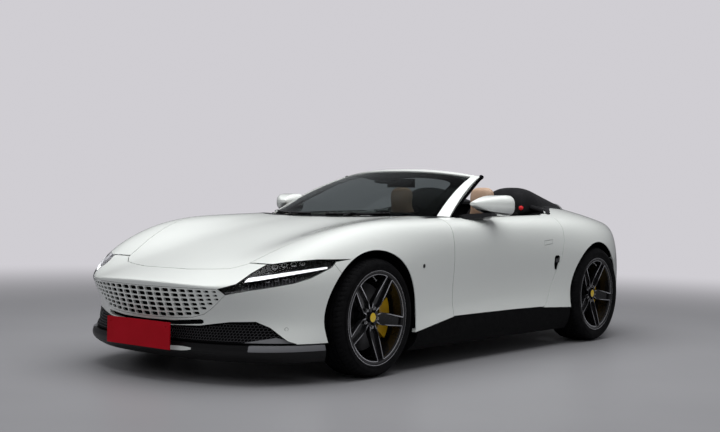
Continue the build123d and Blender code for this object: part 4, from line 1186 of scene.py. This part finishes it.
def puffed(name, mesh, seams, cap=0.022, voxel=0.008, pressure=4.0, pin=0.006):
    """The mesh blown up like a stuffed cover, held down where a seam function is 0."""
    data = bpy.data.meshes.new(name)
    data.from_pydata([tuple(v) for v in mesh[0]], [], mesh[1])
    bm = bmesh.new()
    bm.from_mesh(data)
    bmesh.ops.recalc_face_normals(bm, faces=bm.faces)
    bm.to_mesh(data)
    bm.free()
    pad = bpy.data.objects.new(name, data)
    bpy.context.scene.collection.objects.link(pad)
    again = pad.modifiers.new("remesh", "REMESH")
    again.mode = "VOXEL"
    again.voxel_size = voxel
    graph = bpy.context.evaluated_depsgraph_get()
    pad.data = bpy.data.meshes.new_from_object(pad.evaluated_get(graph))
    pad.modifiers.clear()
    start = [v.co.copy() for v in pad.data.vertices]
    held = pad.vertex_groups.new(name="held")
    for i, p in enumerate(start):
        if any(abs(seam(p)) < pin for seam in seams):
            held.add([i], 1.0, "REPLACE")
    cloth = pad.modifiers.new("cloth", "CLOTH")
    cloth.settings.use_pressure = True
    cloth.settings.uniform_pressure_force = pressure
    cloth.settings.effector_weights.gravity = 0
    cloth.settings.vertex_group_mass = "held"
    cloth.point_cache.frame_start, cloth.point_cache.frame_end = 1, 20
    for number in range(1, 21):
        bpy.context.scene.frame_set(number)
    graph = bpy.context.evaluated_depsgraph_get()
    blown = pad.evaluated_get(graph).to_mesh()
    moves = [v.co - p for v, p in zip(blown.vertices, start)]
    pad.evaluated_get(graph).to_mesh_clear()
    pad.modifiers.clear()
    for v, p, move in zip(pad.data.vertices, start, moves):
        v.co = p + move * min(1.0, cap / max(move.length, 1e-9))
    bpy.context.scene.frame_set(1)
    smooth = pad.modifiers.new("fine", "SUBSURF")
    smooth.levels = smooth.render_levels = 1
    graph = bpy.context.evaluated_depsgraph_get()
    result = bpy.data.meshes.new_from_object(pad.evaluated_get(graph))
    bpy.data.objects.remove(pad)
    result.name = name
    result.polygons.foreach_set("use_smooth", [True] * len(result.polygons))
    return result


def set_down(name, mesh, offset, slot, material=None, body="root"):
    """A copy of a finished pad, moved to its place."""
    copy = mesh.copy()
    copy.transform(Matrix.Translation(offset))
    copy.materials.clear()
    copy.materials.append(MATERIALS[material or slot])
    piece = bpy.data.objects.new(name, copy)
    bpy.context.scene.collection.objects.link(piece)
    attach(piece, body)
    return piece


def across_seams(axis, places):
    """Seams at places along an axis, as distances."""
    return [lambda p, at=at: p[axis] - at for at in places]


def make_front_seats():
    base = padded_form([(0.030, 0.385, 0.150, 0.030), (0.100, 0.405, 0.152, 0.034),
                        (0.250, 0.388, 0.150, 0.034), (0.440, 0.366, 0.146, 0.030)])
    back = padded_form([(0.478, 0.420, 0.140, 0.030), (0.520, 0.550, 0.146, 0.031),
                        (0.556, 0.700, 0.146, 0.031), (0.588, 0.880, 0.132, 0.026)])
    head = padded_form([(0.628, 0.872, 0.170, 0.036), (0.622, 0.925, 0.120, 0.044),
                        (0.608, 0.985, 0.094, 0.048), (0.604, 1.055, 0.098, 0.048),
                        (0.608, 1.105, 0.090, 0.042), (0.613, 1.134, 0.058, 0.030)],
                       power=2.3)
    base_wing = padded_form([(0.020, 0.372, 0.040, 0.040), (0.120, 0.404, 0.044, 0.050),
                             (0.280, 0.404, 0.045, 0.052), (0.450, 0.392, 0.042, 0.048)], power=2.6,
                            x=0.196)
    back_wing = padded_form([(0.500, 0.430, 0.040, 0.046), (0.534, 0.560, 0.046, 0.058),
                             (0.572, 0.720, 0.048, 0.056), (0.612, 0.860, 0.044, 0.040)], power=2.6,
                            x=0.194)
    shell = padded_form([(0.545, 0.290, 0.226, 0.030), (0.590, 0.480, 0.238, 0.032),
                         (0.628, 0.700, 0.236, 0.032), (0.662, 0.880, 0.196, 0.028),
                         (0.655, 1.000, 0.122, 0.020)], power=4.0)
    under = padded_form([(0.030, 0.315, 0.228, 0.046), (0.250, 0.312, 0.234, 0.052),
                         (0.520, 0.300, 0.230, 0.040)],
                        power=5.0)
    soft = {
        "cushion": (puffed("cushion", base, across_seams(1, [0.10, 0.19, 0.28, 0.37])),
                    "leather_tan", 0.85),
        "back": (puffed("back", back, across_seams(2, [0.49, 0.57, 0.65, 0.73, 0.81])),
                 "leather_tan", 0.85),
        "headrest": (puffed("headrest", head, across_seams(2, [0.925]), cap=0.012), "leather_tan",
                     0.9),
    }
    for side, x in (("left", SEAT_X), ("right", -SEAT_X)):
        for name, (mesh, slot, fill) in soft.items():
            set_down(f"seat_{side}_{name}", mesh, (x, 0, 0), slot)
        for name, mesh, slot in (("cushion_sides", merged(base_wing, mirrored(base_wing)),
                                  "leather_tan"),
                                 ("back_sides", merged(back_wing, mirrored(back_wing)),
                                  "leather_tan"),
                                 ("shell", shell, "leather_black"), ("base", under, "soft_black")):
            piece = piece_of(f"seat_{side}_{name}", moved(mesh[0], (x, 0, 0)), mesh[1], "root",
                             slot)
        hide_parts(f"front_seat_{side}")
        rails = []
        for off in (-0.17, 0.17):
            rails.append(tube([(x + off, 0.02, 0.222), (x + off, 0.56, 0.222)], 0.012, 8))
        for y in (0.06, 0.50):
            for off in (-0.17, 0.17):
                rails.append(tube([(x + off, y, 0.182), (x + off, y, 0.262)], 0.016, 10))
        piece_of(f"seat_{side}_rails", *merged(*rails), "root", "steel_black")


def make_rear_seats():
    base = padded_form([(0.695, 0.432, 0.235, 0.030), (0.780, 0.432, 0.238, 0.034),
                        (0.858, 0.415, 0.236, 0.028)],
                       count=28, rings=18)
    back = padded_form([(0.885, 0.455, 0.225, 0.026), (0.915, 0.640, 0.232, 0.030),
                        (0.952, 0.900, 0.215, 0.024)],
                       count=28, rings=20)
    cushion = puffed("rear_cushion", base, [lambda p: p.x - 0.0, lambda p: abs(p.x) - 0.13],
                     cap=0.014, voxel=0.010)
    rest = puffed("rear_back", back, across_seams(2, [0.60, 0.76]) + [lambda p: abs(p.x) - 0.14],
                  cap=0.014, voxel=0.010)
    for side, x in (("left", 0.38), ("right", -0.38)):
        piece = set_down(f"rear_{side}_cushion", cushion, (x, 0, 0), "leather_black")
        set_down(f"rear_{side}_back", rest, (x, 0, 0), "leather_black")
        if side == "left":
            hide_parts("rear_seats")
    frame_mesh = []
    for x in (0.38, -0.38):
        block = padded_form([(0.700, 0.330, 0.246, 0.090), (0.900, 0.330, 0.250, 0.090)], power=6.0,
                            rings=12)
        rise = padded_form([(0.935, 0.300, 0.244, 0.034), (0.960, 0.600, 0.246, 0.030),
                            (0.985, 0.920, 0.226, 0.014)],
                           power=6.0, rings=14)
        frame_mesh += [(moved(block[0], (x, 0, 0)), block[1]), (moved(rise[0], (x, 0, 0)), rise[1])]
    piece_of("rear_seat_shell", *merged(*frame_mesh), "root", "leather_black")


# ---- fairings behind the seats --------------------------------------------
def make_fairings():
    """Padded humps that rise like headrests and run down onto the rear deck, with pale grey ends as
    a painted highlight.
    """
    stations = [  # y, inner x, outer x, top z, how square the top is
        (0.872, 0.215, 0.545, 1.020, 3.0), (0.885, 0.200, 0.560, 1.085, 3.0),
        (0.915, 0.190, 0.575, 1.126, 3.0), (0.960, 0.184, 0.588, 1.144, 2.8),
        (1.020, 0.182, 0.594, 1.148, 2.7), (1.090, 0.182, 0.592, 1.140, 2.6),
        (1.180, 0.188, 0.580, 1.122, 2.5), (1.300, 0.205, 0.560, 1.098, 2.4),
        (1.430, 0.228, 0.532, 1.074, 2.3), (1.560, 0.256, 0.496, 1.052, 2.2),
        (1.660, 0.280, 0.466, 1.036, 2.2), (1.735, 0.300, 0.440, 1.022, 2.2)]
    count = 30
    vertices = []
    for y, inner, outer, top, power in stations:
        middle, half = (inner + outer) / 2, (outer - inner) / 2
        foot = 0.925
        for j in range(count):
            a = math.pi * j / (count - 1)
            c, s = math.cos(a), math.sin(a)
            vertices.append((middle + half * math.copysign(abs(c) ** (2 / power), c), y,
                             foot + (top - foot) * abs(s) ** (2 / power)))
    rows = len(stations)
    faces = grid_faces(rows, count, loop=True)
    faces += [tuple(range(count)), tuple(range((rows - 1) * count, rows * count))]
    for side in ("left", "right"):
        shape = (vertices, faces) if side == "left" else mirrored((vertices, faces))
        piece = piece_of(f"fairing_{side}", *shape, "root", "leather_black")
        smooth = piece.modifiers.new("smooth", "SUBSURF")
        smooth.levels = smooth.render_levels = 1
        if side == "left":
            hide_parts("fairings")
    # pale grey caps over the humps' rear ends, a painted highlight
    tip_highlights = []
    for y, inner, outer, top in ((1.690, 0.284, 0.462, 1.0335), (1.735, 0.299, 0.443, 1.025),
                                 (1.752, 0.312, 0.428, 1.012)):
        middle, half = (inner + outer) / 2, (outer - inner) / 2
        for j in range(count):
            a = math.pi * j / (count - 1)
            c, s = math.cos(a), math.sin(a)
            tip_highlights.append((middle + (half + 0.002) * math.copysign(abs(c) ** 0.9, c), y,
                         0.93 + (top + 0.002 - 0.93) * abs(s) ** 0.9))
    faces = grid_faces(3, count, loop=True) + [tuple(range(count)),
                                               tuple(range(2 * count, 3 * count))]
    left_and_right("fairing_tip_highlight", (tip_highlights, faces), "root", "alloy", "tip_grey")


# ---- steering wheel -------------------------------------------------------
def make_steering_wheel():
    low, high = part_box("steering_wheel")
    middle = (Vector(low) + Vector(high)) / 2
    tilt = math.radians(24 - 90)
    turn = Matrix.Rotation(tilt, 4, "X")
    centre = Vector((middle.x, -0.150, 0.770))

    def placed(mesh):
        return [centre + turn @ Vector(v) for v in mesh[0]], mesh[1]

    path = []
    for i in range(96):
        a = 2 * math.pi * i / 96
        x, y = 0.178 * math.cos(a), 0.178 * math.sin(a)
        path.append((x, min(y, 0.158), 0))  # local +y is down: the rim is flat at the bottom
    path = smooth_path(path[::3], 3, closed=True)
    rim = tube(path, 0.0152, 14, closed=True, flat=1.0)
    grips = []
    for low_a, high_a in ((-28, 28), (152, 208)):
        arc = [(0.178 * math.cos(math.radians(a)), 0.178 * math.sin(math.radians(a)), 0) for a in
               range(low_a, high_a + 1, 4)]
        grips.append(tube(arc, [0.0156 + 0.0012 * math.sin(math.pi * i / (len(arc) - 1))
                                for i in range(len(arc))], 14))
    hub = []
    for z, w, h in ((-0.026, 0.046, 0.050), (-0.012, 0.060, 0.062), (0.006, 0.062, 0.064),
                    (0.013, 0.052, 0.054), (0.0155, 0.030, 0.032)):
        hub += [(u, v, z) for u, v in rounded(w, h, 3.0, 36)]
    hub_faces = grid_faces(5, 36, loop=True) + [tuple(range(36)), tuple(range(144, 180))]
    spokes = []
    for points in (((0.050, -0.004), (0.100, -0.012), (0.168, -0.016)),
                   ((-0.050, -0.004), (-0.100, -0.012), (-0.168, -0.016))):
        path2 = smooth_path([(x, y, -0.004 - 0.02 * (0.168 - abs(x))) for x, y in points], 5)
        spokes.append(ribbon(path2, [(0, 0, 1)] * len(path2),
                             [0.040 - 0.010 * i / 10 for i in range(len(path2))], 0.009))
    down = smooth_path([(0, 0.045, -0.006), (0, 0.100, -0.007), (0, 0.152, -0.004)], 5)
    spokes.append(ribbon(down, [(0, 0, 1)] * len(down), 0.046, 0.008))
    slot = [(-0.012, 0.070, 0.0030), (0.012, 0.070, 0.0030), (0.010, 0.135, 0.0035),
            (-0.010, 0.135, 0.0035)]
    trims = []
    for way in (1, -1):
        edge = smooth_path([(way * 0.056, -0.022, 0.004), (way * 0.100, -0.029, 0.005),
                            (way * 0.160, -0.029, 0.006)], 5)
        trims.append(ribbon(edge, [(0, 0, 1)] * len(edge), 0.005, 0.0035))
        edge = smooth_path([(way * 0.056, 0.016, 0.004), (way * 0.100, 0.006, 0.005),
                            (way * 0.160, 0.000, 0.006)], 5)
        trims.append(ribbon(edge, [(0, 0, 1)] * len(edge), 0.005, 0.0035))
        for k in range(3):
            place = (way * (0.078 + 0.018 * k), -0.008, 0.0035)
            trims.append(button(place, (0, 0, 1), [(0, 0.0062), (0.003, 0.006), (0.0036, 0.0045),
                                                   (0.0036, 0.0004)], 16))
    paddles = []
    for way in (1, -1):
        ring = []
        for i in range(9):
            a = math.radians(-38 + 76 * i / 8)
            ring.append((way * 0.128 * math.cos(a), 0.160 * math.sin(a) - 0.01, -0.034))
        for i in range(9):
            a = math.radians(38 - 76 * i / 8)
            ring.append((way * 0.098 * math.cos(a), 0.125 * math.sin(a) - 0.01, -0.034))
        low_ring = [(x, y, z - 0.003) for x, y, z in ring]
        n = len(ring)
        paddles.append((ring + low_ring, [tuple(range(n)), tuple(range(2 * n - 1, n - 1, -1))]
                        + [(i, (i + 1) % n, n + (i + 1) % n, n + i) for i in range(n)]))
    pieces = (("wheel_rim", merged(rim, *grips), "leather_black", None),
              ("wheel_hub", (hub, hub_faces), "leather_black", None),
              ("wheel_spokes", merged(*spokes), "black_trim", None),
              ("wheel_trims", merged(*trims), "steel_bright", "machined"),
              ("shift_paddles", merged(*paddles), "black_trim", "carbon_grey"))
    shown = [piece_of(name, *placed(mesh), "steering_wheel", slot, material) for name, mesh, slot,
             material in pieces]
    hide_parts("steering_wheel")


# ---- cabin trim -----------------------------------------------------------
def from_inside(x=0.40):
    """Turns a place (along the car, height) into a point inside the cabin, left of the middle."""
    return lambda u, v: Vector((x, u, v))


def make_door_cards():
    """Lined inner panels, armrest, pull and speaker on each door."""
    tree = tree_of("door_left")
    out = (1, 0, 0)
    upper = [(-0.530, 0.640), (-0.540, 0.790), (-0.520, 0.845), (-0.300, 0.868), (0.300, 0.868),
             (0.700, 0.850), (0.755, 0.780), (0.740, 0.700), (0.690, 0.600), (0.100, 0.610)]
    lower = [(-0.520, 0.390), (-0.528, 0.628), (0.100, 0.598), (0.684, 0.588), (0.640, 0.500),
             (0.590, 0.400)]
    seam = [(-0.528, 0.634), (0.100, 0.604), (0.690, 0.594)]
    left_and_right("door_upper", draped(upper, from_inside(), out, tree, 0.008, 0.007, 0.05),
                   "door_left",
                   "leather_black")
    left_and_right("door_lower", draped(lower, from_inside(), out, tree, 0.010, 0.009, 0.05),
                   "door_left",
                   "leather_tan")
    path = [landed(tree, (0.40, p.y, p.z),
                   out) for p in smooth_path([(0, u, v) for u, v in seam], 12)]
    path = [(p, n) for p, n in path if p is not None]
    left_and_right("door_seam", ribbon([p + n * 0.006 for p, n in path], [n for _, n in path],
                                       0.010, 0.007),
                   "door_left", "steel_bright", "machined")
    wall = landed(tree, (0.40, 0.10, 0.56), out)[0].x
    rest = padded_form([(-0.200, 0.560, 0.034, 0.020), (-0.100, 0.575, 0.036, 0.024),
                        (0.150, 0.580, 0.036, 0.026), (0.330, 0.585, 0.030, 0.024)], power=2.6,
                       x=wall - 0.034)
    left_and_right("door_armrest", rest, "door_left", "leather_tan")
    pull = tube(smooth_path([(wall - 0.006, -0.330, 0.600), (wall - 0.040, -0.310, 0.640),
                             (wall - 0.044, -0.260, 0.690), (wall - 0.040, -0.215, 0.735),
                             (wall - 0.006, -0.195, 0.765)], 6),
                0.010, 10, flat=0.7)
    left_and_right("door_pull", pull, "door_left", "black_trim")
    place, normal = landed(tree, (0.40, -0.380, 0.480), out)
    ring = button(place + normal * 0.008, normal,
                  [(0, 0.085), (0.006, 0.084), (0.008, 0.078), (0.004, 0.074), (0, 0.074)], 40)
    cone = button(place + normal * 0.008, normal,
                  [(0.003, 0.074), (0.0035, 0.040), (0.006, 0.0005)], 40)
    dots = []
    for k in range(1, 6):
        for j in range(6 * k):
            a = 2 * math.pi * j / (6 * k)
            spot = place + normal * 0.0115 + Vector((0, 0.0125 * k * math.cos(a),
                                                     0.0125 * k * math.sin(a)))
            dots.append(button(spot, normal, [(0, 0.0034), (0.0016, 0.0028), (0.0018, 0.0004)], 8))
    left_and_right("speaker_ring", ring, "door_left", "steel_bright", "machined")
    left_and_right("speaker_grille", merged(cone, *dots), "door_left", "black_trim")
    handle = button(landed(tree, (0.40, -0.120, 0.740), out)[0] - Vector((0.008, 0, 0)), (-1, 0, 0),
                    [(0, 0.026), (0.006, 0.025), (0.008, 0.020), (0.003, 0.018), (0.003, 0.0005)],
                    28)
    left_and_right("inner_handle", handle, "door_left", "steel_bright", "machined")


def make_carpet():
    tub = tree_of("cabin_tub")
    down = (0, 0, -1)
    foot = [(0.128, -0.660), (0.660, -0.660), (0.670, -0.200), (0.670, 0.620), (0.128, 0.620)]
    left_and_right("carpet", draped(foot, lambda u, v: Vector((u, v, 0.50)), down, tub, 0.007,
                                    0.006, 0.05), "root",
                   "soft_black", "carpet")
    mat = [(0.160, -0.560), (0.560, -0.560), (0.600, -0.500), (0.600, -0.050), (0.150, -0.050)]
    left_and_right("floor_mat", draped(mat, lambda u, v: Vector((u, v, 0.50)), down, tub, 0.013,
                                       0.006, 0.05), "root",
                   "soft_black", "carpet")
    toe = [(0.130, 0.200), (0.640, 0.200), (0.640, 0.520), (0.130, 0.520)]
    left_and_right("toe_board", draped(toe, lambda u, v: Vector((u, -0.30, v)), (0, -1, 0), tub,
                                       0.007, 0.006, 0.05),
                   "root", "soft_black", "carpet")


def make_pedals():
    tub = tree_of("cabin_tub")
    pads, stems = [], []
    for x, w, h, z in ((0.445, 0.026, 0.052, 0.315), (0.350, 0.036, 0.030, 0.345),
                       (0.235, 0.036, 0.075, 0.310)):
        wall = landed(tub, (x, -0.30, z), (0, -1, 0))[0]
        y = wall.y + (0.075 if w < 0.03 or h < 0.04 else 0.022)
        rows = []
        for depth in (0.0, 0.008):
            rows += [(x + u, y + depth + 0.25 * v, z + v) for u, v in rounded(w, h, 5, 24)]
        pads.append((rows, [tuple(range(24)), tuple(range(47, 23, -1))]
                     + [(i, (i + 1) % 24, 24 + (i + 1) % 24, 24 + i) for i in range(24)]))
        for k in range(-2, 3):
            v = k * h * 0.36
            stud = [(x - w * 0.72, y + 0.009 + 0.25 * v, z + v),
                    (x + w * 0.72, y + 0.009 + 0.25 * v, z + v)]
            stems.append(tube(stud, 0.0028, 6))
        if h < 0.07:
            stems.append(tube([(x, y - 0.004, z + 0.01), (x, y - 0.05, z + 0.12),
                               (x, wall.y - 0.002, z + 0.16)], 0.006, 8))
    piece_of("pedals", *merged(*pads), "root", "steel_bright", "machined")
    piece_of("pedal_arms", *merged(*stems), "root", "black_trim")


def make_dashboard():
    dash = tree_of("dashboard")
    back = (0, -1, 0)
    # instrument display under the hood, and the passenger's narrow one
    display = [(0.232, 0.800), (0.508, 0.800), (0.512, 0.880), (0.490, 0.898), (0.250, 0.898),
               (0.228, 0.880)]
    piece_of("instruments", *draped(display, lambda u, v: Vector((u, 0.10, v)), back, dash, 0.004,
                                    0.004, 0.03), "root",
             "black_trim", "screen_dark")
    strip = [(-0.560, 0.806), (-0.250, 0.806), (-0.250, 0.842), (-0.560, 0.842)]
    piece_of("passenger_display", *draped(strip, lambda u, v: Vector((u, 0.10, v)), back, dash,
                                          0.004, 0.005, 0.03),
             "root", "black_trim", "screen_dark")
    low, high = -0.095, 0.095
    middle = [(low + 0.006, 0.712), (high - 0.006, 0.712), (high - 0.006, 0.898),
              (low + 0.006, 0.898)]
    piece_of("centre_display", *draped(middle, lambda u, v: Vector((u, 0.10, v)), back, dash, 0.003,
                                       0.003, 0.03), "root",
             "black_trim", "screen_dark")
    bezel = [landed(dash, (u, 0.10, v), back)[0] for u, v in middle]
    piece_of("display_bezel", *ribbon(smooth_path(bezel, 8, closed=True), [(0, 1, 0)] * 32, 0.005,
                                      0.005, closed=True),
             "root", "steel_bright", "machined")
    # vents with slats
    frames, slats = [], []
    for x in (-0.620, -0.175, 0.172, 0.620):
        if abs(x) < 0.2:
            x = math.copysign(0.150, x)
        place, normal = landed(dash, (x, 0.10, 0.826), back)
        if place is None:
            continue
        w, h = (0.046, 0.024) if abs(x) > 0.3 else (0.030, 0.024)
        ring = [place + Vector((u, 0, v)) for u, v in rounded(w, h, 4, 32)]
        frames.append(ribbon(ring, [normal] * 32, 0.006, 0.007, closed=True))
        for k in range(-2, 3):
            v = k * 0.0085
            slats.append(ribbon([place + Vector((-w, 0.001, v)), place + Vector((w, 0.001, v))],
                                [normal] * 2, 0.0028, 0.004))
    piece_of("vent_frames", *merged(*frames), "root", "steel_bright", "machined")
    piece_of("vent_slats", *merged(*slats), "root", "black_trim")
    # tan lower panel and seam
    for name, side in (("left", 1), ("right", -1)):
        x0, x1 = (0.10, 0.668)
        panel = [(side * x0, 0.640), (side * x1, 0.640), (side * x1, 0.768), (side * x0, 0.768)]
        if side < 0:
            panel.reverse()
        shape = draped(panel, lambda u, v: Vector((u, 0.10, v)), back, dash, 0.006, 0.006, 0.03)
        piece_of(f"dash_lower_{name}", *shape, "root", "leather_tan")
    top = smooth_path([(-0.66, 0, 0), (-0.30, 0, 0), (0.10, 0, 0)], 12)
    line = [landed(dash, (p.x, -0.40, 1.2), (0, 0, -1)) for p in top]
    line = [(p, n) for p, n in line if p is not None]
    piece_of("dash_seam", *ribbon([p for p, _ in line], [n for _, n in line], 0.004, 0.0015),
             "root", "leather_tan")


def make_console():
    tree = tree_of("centre_console")
    down = (0, 0, -1)
    # armrest pad, gear gate, cup holder and switches on top
    plate = [(-0.050, -0.300), (0.050, -0.300), (0.050, -0.010), (-0.050, -0.010)]
    piece_of("gear_plate", *draped(plate, lambda u, v: Vector((u, v, 1.0)), down, tree, 0.004,
                                   0.004, 0.03), "root",
             "steel_bright", "machined")
    levers, wells = [], []
    for x in (-0.028, 0, 0.028):
        place, normal = landed(tree, (x, -0.155, 1.0), down)
        place = place + normal * 0.004
        levers.append(button(place, normal,
                             [(0, 0.0085), (0.003, 0.0085), (0.006, 0.0055), (0.018, 0.0050),
                              (0.028, 0.0075), (0.034, 0.0070), (0.036, 0.0005)],
                             18))
        wells.append(ribbon([(x, place.y - 0.045, place.z), (x, place.y + 0.045, place.z)],
                            [normal] * 2, 0.008, 0.0008))
    for y in (-0.265, -0.235, -0.060):
        for x in (-0.030, -0.010, 0.010, 0.030):
            place, normal = landed(tree, (x, y, 1.0), down)
            wells.append(button(place + normal * 0.004, normal,
                                [(0, 0.0075), (0.0022, 0.0072), (0.0026, 0.005),
                                 (0.0024, 0.0004)], 16))
    piece_of("gear_levers", *merged(*levers), "root", "steel_bright", "machined")
    piece_of("console_switches", *merged(*wells), "root", "black_trim")
    place, normal = landed(tree, (0, 0.060, 1.0), down)
    cup = button(place, normal, [(0.0, 0.046), (0.006, 0.045), (0.007, 0.041), (0.0015, 0.038),
                                 (0.001, 0.0005)], 40)
    piece_of("cup_holder", *cup, "root", "steel_bright", "machined")
    rest = padded_form([(0.140, 0.500, 0.088, 0.024), (0.300, 0.500, 0.092, 0.030),
                        (0.520, 0.492, 0.090, 0.030), (0.620, 0.480, 0.084, 0.024)], power=3.6)
    mesh = puffed("armrest", rest, [lambda p: p.x], cap=0.010, voxel=0.010)
    set_down("console_armrest", mesh, (0, 0, 0), "leather_tan")


def make_belts():
    """Belts from the rear sides over the seats' shoulders, with their buckles and the red catch."""
    for side in (1, -1):
        name = "left" if side > 0 else "right"
        path = smooth_path([(side * 0.665, 0.800, 0.900), (side * 0.600, 0.760, 0.935),
                            (side * 0.560, 0.700, 0.905), (side * 0.560, 0.640, 0.800),
                            (side * 0.590, 0.540, 0.560), (side * 0.612, 0.470, 0.330)], 8)
        ups = [Vector((side * 0.2, 0.2, 1)) if i < 10 else Vector((side * 1.0, -0.3, 0.2))
               for i in range(len(path))]
        piece_of(f"belt_{name}", *ribbon(path, ups, 0.046, 0.0016), "root", "soft_black")
        x = side * 0.125
        stem = tube([(x, 0.480, 0.360), (x, 0.470, 0.440)], 0.009, 8, flat=0.6)
        head = button((x, 0.470, 0.432), (0, -0.12, 1),
                      [(0, 0.013), (0.002, 0.016), (0.040, 0.016), (0.046, 0.013),
                       (0.046, 0.0005)], 20)
        piece_of(f"buckle_{name}", *merged(stem, head), "root", "black_trim")
        tab = button((x, 0.4645, 0.4775), (0, -0.12, 1),
                     [(0, 0.0105), (0.003, 0.0100), (0.0036, 0.0005)], 16)
        piece_of(f"buckle_tab_{name}", *tab, "root", "lamp_red", "belt_red")
        tab = button((side * 0.546, 0.874, 0.989), (side * 0.35, -0.9, 0.2),
                     [(0, 0.0175), (0.006, 0.017), (0.009, 0.012),
                      (0.010, 0.0005)], 20)
        piece_of(f"belt_catch_{name}", *tab, "root", "lamp_red", "belt_red")


def make_cockpit_edge():
    """A soft black border on the body round the back of the cockpit."""
    quarter = tree_of("rear_quarter_left", "tonneau_cover")
    down = (0, 0, -1)
    front = [(0.598, 0.953), (0.652, 0.942), (0.702, 0.928), (0.750, 0.892), (0.773, 0.862),
             (0.786, 0.812)]
    corner = front + [(0.793, 0.840), (0.775, 0.893), (0.745, 0.950), (0.716, 0.996),
                      (0.680, 1.060), (0.649, 1.122), (0.600, 1.060)]
    shape = draped(corner, lambda u, v: Vector((u, v, 1.4)), down, quarter, 0.004, 0.006, 0.02)
    left_and_right("cockpit_corner", shape, "root", "leather_black")
    edge = []
    for u, v in [(0.580, 0.957)] + front + [(0.789, 0.795)]:
        place = landed(quarter, (u + 0.004, v + 0.008, 1.4), down)[0]
        if place is not None:
            edge.append(place + Vector((0, -0.008, -0.010)))
    left_and_right("cockpit_roll", tube(smooth_path(edge, 5), 0.0195, 12), "root", "leather_black")


bpy.context.scene.view_settings.view_transform = "Standard"
make_camera()
make_world()
make_stage()
carried_over()
for axle in ("front", "rear"):
    make_tyre(axle)
    make_wheel(axle)
make_lamps()
make_intake_mesh()
make_nose()
make_side_details()
make_seals()
make_tail()
make_engine_cover()
make_screen_band()
make_mirror_mount()
make_wipers()
make_door_mirrors()
make_front_seats()
make_rear_seats()
make_fairings()
make_steering_wheel()
make_door_cards()
make_carpet()
make_pedals()
make_dashboard()
make_console()
make_belts()
make_cockpit_edge()
